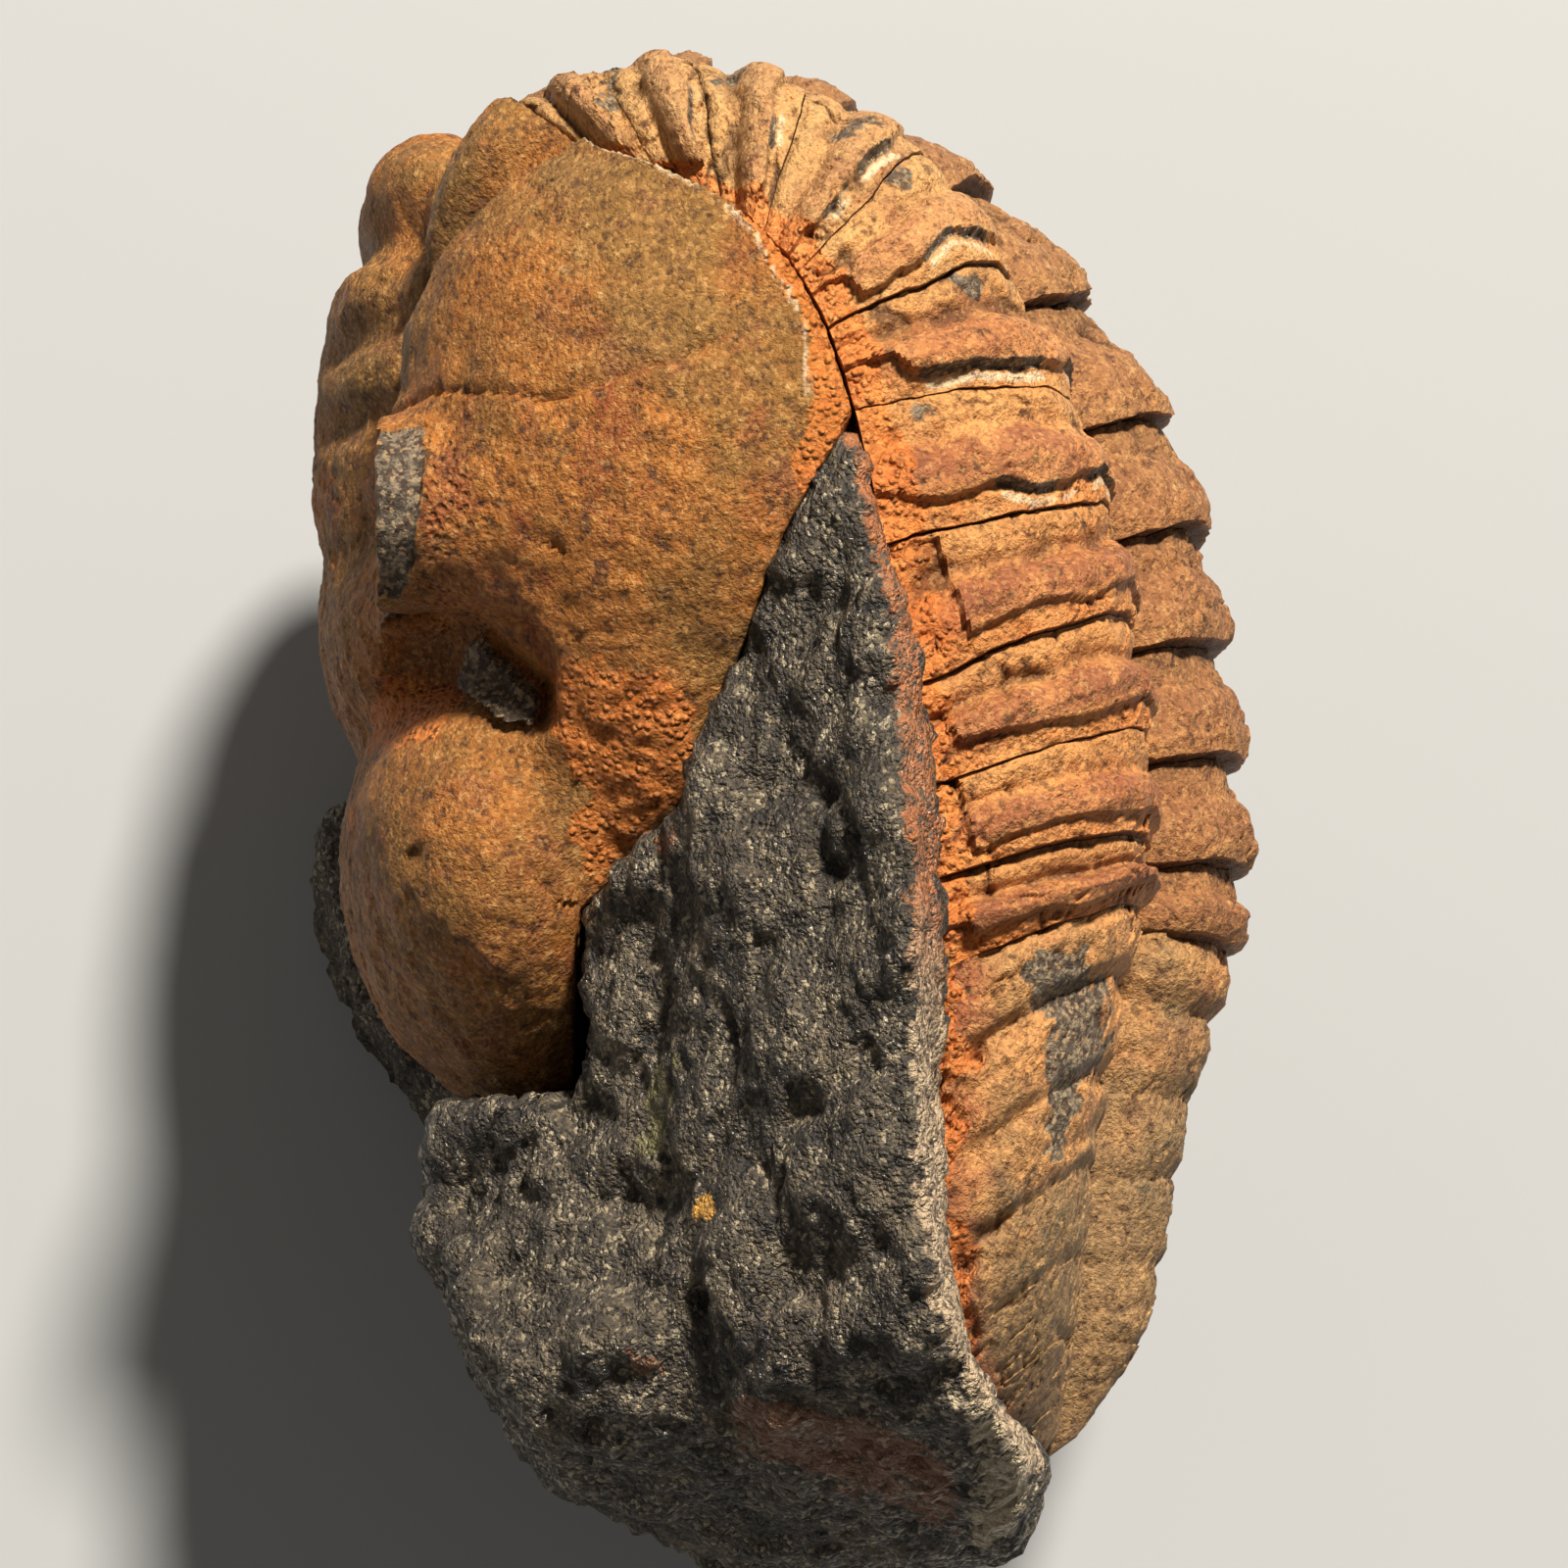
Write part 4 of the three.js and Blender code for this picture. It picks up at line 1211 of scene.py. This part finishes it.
# %% A finish
class Finish:
    """A material whose nodes are added by one method."""

    def __init__(self, name):
        self.material = bpy.data.materials.new(name)
        self.material.use_nodes = True
        self.tree = self.material.node_tree
        self.shader = self.tree.nodes["Principled BSDF"]
        self.place = self.add("ShaderNodeTexCoord", output="Object")

    def add(self, kind, settings=None, inputs=None, output=0):
        node = self.tree.nodes.new(kind)
        for key, value in (settings or {}).items():
            setattr(node, key, value)
        for key, value in (inputs or {}).items():
            self.feed(node.inputs[key], value)
        return node.outputs[output]

    def feed(self, socket, value):
        value = value.socket if isinstance(value, Mask) else value
        if isinstance(value, bpy.types.NodeSocket):
            self.tree.links.new(value, socket)
        else:
            socket.default_value = value

    def feed_shader(self, name, value):
        self.feed(self.shader.inputs[name], value)

    def noise(self, size, detail, roughness, seed, stretch=None):
        """Noise between 0 and 1 with lumps of a size in millimetres."""
        place = self.place
        if stretch:
            mapped = {"Vector": place, "Scale": stretch}
            place = self.add("ShaderNodeMapping", {"vector_type": "POINT"}, mapped)
        return Mask(self, self.add("ShaderNodeTexNoise", {"noise_dimensions": "4D"}, {
            "Vector": place, "W": spacing * seed, "Scale": 1000 / size,
            "Detail": detail, "Roughness": roughness}))

    def cells(self, size, output="Distance"):
        """Cells of a size in millimetres: the distance from their middles, or a grey for each."""
        return Mask(self, self.add("ShaderNodeTexVoronoi", {}, {
            "Vector": self.place, "Scale": 1000 / size, "Randomness": 1.0}, output))

    def mask(self, name):
        return Mask(self, self.add("ShaderNodeAttribute", {"attribute_name": name}, {}, "Fac"))

    def step(self, value, low, high, start=0.0, end=1.0):
        return Mask(self, self.add("ShaderNodeMapRange", {"interpolation_type": "SMOOTHSTEP"}, {
            "Value": value, "From Min": low, "From Max": high, "To Min": start, "To Max": end}))

    def mix(self, first, second, share):
        return self.add("ShaderNodeMix", {"data_type": "RGBA"}, {0: share, 6: first, 7: second}, 2)

    def bump(self, height, depth):
        """Small relief of a depth in millimetres."""
        return self.add("ShaderNodeBump", {}, {"Height": height, "Distance": depth / 1000, "Strength": 1.0})

    def done(self, *pieces):
        for piece in pieces:
            piece.data.materials.clear()
            piece.data.materials.append(self.material)


# %% Colours and uneven edges
def paint(red, green, blue):
    """A colour as it is seen, 0 to 255, turned into light values."""
    values = [value / 255 for value in (red, green, blue)]
    light = [value / 12.92 if value <= 0.04045 else ((value + 0.055) / 1.055) ** 2.4 for value in values]
    return (*light, 1.0)


def frayed(value, noise, amount):
    """A value whose edges a noise between 0 and 1 makes uneven."""
    return value + (noise - 0.5) * amount


print("middle grey as light:", round(paint(128, 128, 128)[0], 3))

# %% [markdown]
# ## The shell's finish
#
# The shell is iron-stained stone: ochre and orange, with olive-brown and red-brown clouds, painted
# shade in its furrows and hollows, a paler dust on the heights, and grey rock where it has broken off.
# A painted picture could hold all that, but noise in space has no seams and stays sharp from near.
# Noise at four sizes gives the clouds, the blotches, the specks and the grain, and small cells give
# grains of sand.

# %% The clouds of the shell
sand_size = 0.11
bead_size = 0.24
lens_size = 0.27
pale_speck, dark_speck = paint(214, 168, 104), paint(58, 33, 18)
pale_sand, dark_sand = paint(232, 178, 104), paint(56, 30, 16)
painted_low_shade, grain_dirt = paint(58, 32, 18), paint(44, 26, 14)
fresh_orange, pale_dust = paint(206, 112, 40), paint(218, 196, 158)
dark_mineral, pale_mineral = paint(56, 50, 42), paint(120, 110, 92)


def shell_clouds(finish, ground, clouds, red, seed):
    """The wide colour changes of the shell; it keeps its noises for the later layers."""
    finish.broad = finish.noise(5.5, 4, 0.6, seed)
    finish.blotch = finish.noise(1.6, 5, 0.65, seed + 1)
    finish.speck = finish.noise(0.35, 4, 0.7, seed + 2)
    finish.grain = finish.noise(0.17, 4, 0.75, seed + 3)
    finish.sand, finish.sand_shade = finish.cells(sand_size), finish.cells(sand_size, "Color")
    colour = finish.mix(ground, clouds, finish.step(frayed(finish.broad, finish.blotch, 0.5), 0.42, 0.62))
    return finish.mix(colour, red, finish.step(finish.noise(2.6, 5, 0.7, seed + 5), 0.5, 0.66) * 0.8)


# %% [markdown]
# ### Layers over the clouds
#
# The stone's own layers go on in the order in which they came to it, and painted shade goes on after
# the breaks: specks, fresh orange breaks, painted shade in the furrows and hollows, bare grey rock,
# dust, and at last the single grains of sand.

# %% Specks, breaks, painted shade and dust
def shell_layers(finish, colour, fresh):
    speck, low = finish.speck, finish.mask("low")
    colour = finish.mix(colour, pale_speck, finish.step(speck, 0.55, 0.72) * 0.5 * (1 - low))
    colour = finish.mix(colour, dark_speck, finish.step(speck, 0.48, 0.34) * 0.8)
    colour = finish.mix(colour, fresh_orange, fresh * 0.6)
    # Painted shade darkens the low places: furrows, cracks, plate walls and the hollow under the eye.
    colour = finish.mix(colour, painted_low_shade, finish.step(frayed(low, speck, 0.7), 0.4, 1.15) * 0.8)
    mineral_share = finish.step(frayed(speck, finish.sand_shade, 0.3), 0.4, 0.66)
    mineral = finish.mix(dark_mineral, pale_mineral, mineral_share)
    broken = finish.step(frayed(finish.mask("broken"), speck, 0.7), 0.4, 0.62)
    colour = finish.mix(colour, mineral, broken * 0.92)
    dust = finish.step(frayed(finish.mask("dust"), speck, 0.8), 0.42, 0.8)
    colour = finish.mix(colour, pale_dust, dust * 0.75)
    colour = finish.mix(colour, grain_dirt, finish.step(finish.grain, 0.46, 0.34) * 0.45)
    colour = finish.mix(colour, pale_sand, finish.step(finish.sand_shade, 0.64, 0.76) * 0.16)
    return finish.mix(colour, dark_sand, finish.step(finish.sand_shade, 0.36, 0.26) * 0.28)


# %% The whole finish of the shell
shell_shine = 0.3
shell_bump = 0.36


def shell_finish(name, ground, clouds, red, seed, zones):
    finish = Finish(name)
    colour = zones(finish, shell_clouds(finish, ground, clouds, red, seed))
    fresh = finish.step(frayed(finish.mask("fresh"), finish.blotch, 0.9), 0.4, 0.75)
    finish.feed_shader("Base Color", shell_layers(finish, colour, fresh))
    finish.feed_shader("Roughness", finish.step(finish.blotch, 0.2, 0.8, 0.5, 0.75))
    lens = finish.mask("lens") * finish.step(finish.cells(lens_size), 0.5, 0.15)
    beads = fresh * finish.step(finish.cells(bead_size), 0.55, 0.1)
    height = finish.blotch * 0.5 + finish.speck * 0.55 + finish.grain * 0.4
    height = height - finish.sand * 0.07 - lens * 0.3 + beads * 0.4
    finish.feed_shader("Normal", finish.bump(height, shell_bump))
    finish.feed_shader("Specular IOR Level", shell_shine)
    return finish


# %% [markdown]
# ### Colour zones
#
# The three parts of the shell have weathered differently. On a plate the low front band is pale
# ochre and the raised band red-brown, more so towards the tail. The tail is stained olive, with
# rust at its edge. The head is olive above the crack and a darker brown on the frontal lobe, partly
# the stone's own brown and partly painted shade towards the lobe's lower left, with small dark spots.

# %% Zones of the plates
band_brown, band_ochre, band_orange = paint(158, 96, 60), paint(194, 146, 86), paint(186, 112, 54)
raised_red, aged_olive, ring_brown = paint(126, 68, 44), paint(158, 128, 84), paint(138, 92, 54)


def plate_zones(finish, colour):
    broad, blotch, speck = finish.broad, finish.blotch, finish.speck
    order = finish.mask("order")
    uneven = frayed(finish.mask("along"), blotch, 0.5)
    middle = finish.step(uneven, 0.3, 0.48) * finish.step(uneven, 0.9, 0.7)
    colour = finish.mix(colour, band_brown, middle * 0.5)
    colour = finish.mix(colour, band_ochre, finish.step(uneven, 0.26, 0.14) * 0.5)
    colour = finish.mix(colour, band_orange, finish.step(frayed(order, broad, 0.6), 0.45, 0.7) * 0.45)
    raised = finish.step(uneven, 0.34, 0.46) * finish.step(uneven, 0.86, 0.72)
    towards_tail = finish.step(frayed(order, blotch, 0.5), 0.45, 0.75)
    mottled = finish.step(frayed(speck, blotch, 0.8), 0.36, 0.56)
    colour = finish.mix(colour, raised_red, raised * towards_tail * mottled * 0.75)
    aged = finish.step(frayed(order, broad, 0.4), 0.55, 0.3)
    colour = finish.mix(colour, aged_olive, aged * finish.step(speck, 0.3, 0.6) * 0.55)
    rings = finish.step(frayed(finish.mask("side"), blotch, 0.4), 0.46, 0.3)
    return finish.mix(colour, ring_brown, rings * 0.75)


# %% Zones of the tail and the head
tail_olive, tail_grey_green, edge_rust = paint(118, 100, 70), paint(82, 78, 62), paint(134, 58, 34)
lobe_brown_and_shade, upper_olive = paint(118, 78, 32), paint(126, 90, 42)
red_stain, dark_spot = paint(110, 56, 40), paint(70, 40, 22)


def tail_zones(finish, colour):
    blotch, side = finish.blotch, finish.mask("side")
    stained = finish.step(frayed(finish.mask("along") - side * 0.35, blotch, 0.7), -0.05, 0.35)
    colour = finish.mix(colour, tail_olive, stained * 0.7)
    colour = finish.mix(colour, tail_grey_green, finish.step(blotch, 0.55, 0.7) * stained * 0.6)
    return finish.mix(colour, edge_rust, finish.step(frayed(side, blotch, 0.2), 0.9, 0.97) * 0.7)


def head_zones(finish, colour):
    lobe = finish.mask("lobe") * finish.step(finish.blotch, 0.25, 0.6)
    above = finish.mask("above") * finish.step(finish.broad, 0.35, 0.6)
    # The lobe's darker brown is partly the stone's own colour and partly painted shade at its lower left.
    colour = finish.mix(colour, lobe_brown_and_shade, lobe * 0.6)
    colour = finish.mix(colour, upper_olive, above * 0.7)
    colour = finish.mix(colour, red_stain, finish.step(finish.noise(1.5, 5, 0.7, 29), 0.54, 0.66) * 0.5)
    return finish.mix(colour, dark_spot, finish.step(finish.noise(0.8, 4, 0.7, 27), 0.56, 0.68) * 0.75)


# %% The three shell finishes
thorax_finish = shell_finish(
    "thorax shell", ground=paint(206, 150, 88), clouds=paint(184, 126, 70), red=paint(152, 90, 52),
    seed=1, zones=plate_zones)
tail_finish = shell_finish(
    "tail shell", ground=paint(190, 132, 76), clouds=paint(160, 116, 70), red=paint(142, 86, 54),
    seed=11, zones=tail_zones)
head_finish = shell_finish(
    "head shell", ground=paint(164, 100, 38), clouds=paint(132, 90, 38), red=paint(136, 66, 30),
    seed=21, zones=head_zones)
thorax_finish.done(*thorax)
tail_finish.done(tail)
head_finish.done(head)
print("nodes in the head's finish:", len(head_finish.tree.nodes))

# %% [markdown]
# ## The rock's finish
#
# The rock is a dark fine sandstone: near-black and grey-brown grains, and pale grains that are partly
# painted glints. The strip on the ridge beside the shell is rust above and beige below, the beige partly
# dust and partly painted highlight. The deep places are darkened with painted shade, and a few patches
# are rusty, olive or pale. A picture of stone wrapped round it would show seams, so noise and cells do it.

# %% Colours of the rock
grain_pair = paint(58, 50, 40), paint(94, 82, 64)
rock_rim_dark, rock_rim_beige_and_highlight, rock_rim_rust = paint(92, 74, 56), paint(186, 160, 126), paint(164, 98, 54)
rock_zones = {
    "rust": (paint(140, 84, 46), 0.5), "olive": (paint(112, 104, 62), 0.7),
    "crystal": (paint(214, 156, 66), 0.9), "tip": (paint(190, 170, 136), 0.7),
}
rock_sand_size = 0.13
rock_bump = 0.55
print("patches of the rock:", ", ".join(rock_zones))


# %% The whole finish of the rock
def rock_layers(finish, grains, patches, streaks, sand_shade):
    """The colour of the rock without its rim and its patches."""
    colour = finish.mix(*grain_pair, finish.step(sand_shade, 0.34, 0.66))
    for shade, share in (
            # Pale grains, partly real and partly painted glints.
            (paint(206, 188, 152), finish.step(sand_shade, 0.7, 0.8) * 0.4),
            (paint(122, 106, 82), finish.step(patches, 0.5, 0.7) * 0.5),
            (paint(164, 148, 118), finish.step(grains, 0.58, 0.7) * 0.5),
            (paint(36, 29, 21), finish.step(streaks, 0.44, 0.6) * 0.8),
            (paint(22, 17, 12), finish.step(grains, 0.48, 0.36) * 0.9),
            # Painted shade darkens the deep places.
            (paint(20, 16, 12), finish.mask("deep") * 0.7)):
        colour = finish.mix(colour, shade, share)
    return colour


def rock_finish():
    finish = Finish("dark sandstone")
    grains = finish.noise(0.5, 4, 0.75, 41)
    patches = finish.noise(2.4, 4, 0.6, 42)
    streaks = finish.noise(0.9, 5, 0.65, 43, (1.0, 0.7, 1.0))
    sand, sand_shade = finish.cells(rock_sand_size), finish.cells(rock_sand_size, "Color")
    colour = rock_layers(finish, grains, patches, streaks, sand_shade)
    # The strip along the ridge: rust above and beige below, the beige partly painted highlight of the lit
    # ridge.
    rim_colour = finish.mix(rock_rim_beige_and_highlight, rock_rim_rust, finish.mask("upper"))
    dark_grains = finish.step(frayed(grains, sand_shade, 0.5), 0.5, 0.34)
    rim_colour = finish.mix(rim_colour, rock_rim_dark, dark_grains)
    rim = finish.step(frayed(finish.mask("rim"), grains, 1.2), 0.45, 0.8)
    colour = finish.mix(colour, rim_colour, rim * 0.8)
    for zone, (shade, share) in rock_zones.items():
        patch = frayed(frayed(finish.mask(zone), streaks, 2), sand_shade, 0.6)
        colour = finish.mix(colour, shade, finish.step(patch, 0.5, 1.0) * share)
    finish.feed_shader("Base Color", colour)
    finish.feed_shader("Roughness", finish.step(sand_shade, 0.5, 0.7, 0.7, 0.3))
    finish.feed_shader("Normal", finish.bump(streaks * 0.6 + grains * 1.0 - sand * 0.2, rock_bump))
    return finish


rock_finish().done(rock)
print("materials in the file:", len(bpy.data.materials))

# %% [markdown]
# ## The floor
#
# A plain plane is all the fossil needs below it. It is wide enough that no edge of it shows, and
# its plain pale grey lets the warm colours of the stone speak.

# %% The floor
floor_width = 3
floor_grey = paint(156, 156, 154)
floor_roughness = 0.9

bpy.ops.object.select_all(action="DESELECT")
bpy.ops.mesh.primitive_plane_add(size=floor_width, location=(0, 0, 0))
floor = bpy.context.object
floor.name = "pale_floor"
floor_finish = Finish("pale floor")
floor_finish.feed_shader("Base Color", floor_grey)
floor_finish.feed_shader("Roughness", floor_roughness)
floor_finish.done(floor)
print("the floor is", floor_width, "m wide")

# %% [markdown]
# ## Light
#
# A key light from the upper right of the picture is small enough to draw each ledge, and soft
# enough not to cut. A weak fill light from the lower left and a pale sky keep the shadows open.

# %% Light
sky_colour, sky_strength = (1.0, 0.98, 0.95, 1), 0.15
middle_height = 0.017
key_light = {
    "direction": (0.24, 0.55, 0.8), "distance": 0.5, "size": 0.06, "power": 6.4, "colour": (1.0, 0.96, 0.9)}
fill_light = {
    "direction": (-0.6, -0.3, 0.75), "distance": 0.6, "size": 0.3, "power": 0.2, "colour": (1.0, 0.98, 0.95)}


def add_light(name, direction, distance, size, power, colour):
    lamp = bpy.data.lights.new(name, "AREA")
    lamp.shape = "DISK"
    lamp.size = size
    lamp.energy = power
    lamp.color = colour
    light = bpy.data.objects.new(name, lamp)
    bpy.context.scene.collection.objects.link(light)
    towards = Vector(direction).normalized()
    light.location = towards * distance + Vector((0, 0, middle_height))
    light.rotation_euler = towards.to_track_quat("Z", "Y").to_euler()


sky = bpy.data.worlds.new("studio")
bpy.context.scene.world = sky
sky.use_nodes = True
sky.node_tree.nodes["Background"].inputs["Color"].default_value = sky_colour
sky.node_tree.nodes["Background"].inputs["Strength"].default_value = sky_strength
add_light("key", **key_light)
add_light("fill", **fill_light)

# %% [markdown]
# ## Camera
#
# The camera looks down on the near flank, leaning a little towards the fossil's lower end. It
# stands far off, with a long lens, as close-up pictures of small things are taken. The plain view
# transform keeps the orange of the stone, which the default one would make duller.

# %% Camera
camera_tilt = math.radians(9.5)
camera_distance = 0.230
picture_width = 0.04183
sensor_width = 36
nearest_seen = 0.01

camera_data = bpy.data.cameras.new("camera")
camera_data.sensor_width = sensor_width
camera_data.lens = sensor_width * camera_distance / picture_width
camera_data.clip_start = nearest_seen
camera = bpy.data.objects.new("camera", camera_data)
bpy.context.scene.collection.objects.link(camera)
looked_at = Vector(in_frame(np.zeros(3)))
back = Vector((0, -math.sin(camera_tilt), math.cos(camera_tilt)))
camera.location = looked_at + back * camera_distance
camera.rotation_euler = (camera_tilt, 0, 0)
bpy.context.scene.camera = camera
bpy.context.scene.view_settings.view_transform = "Standard"
print("lens, mm:", round(camera_data.lens, 1))
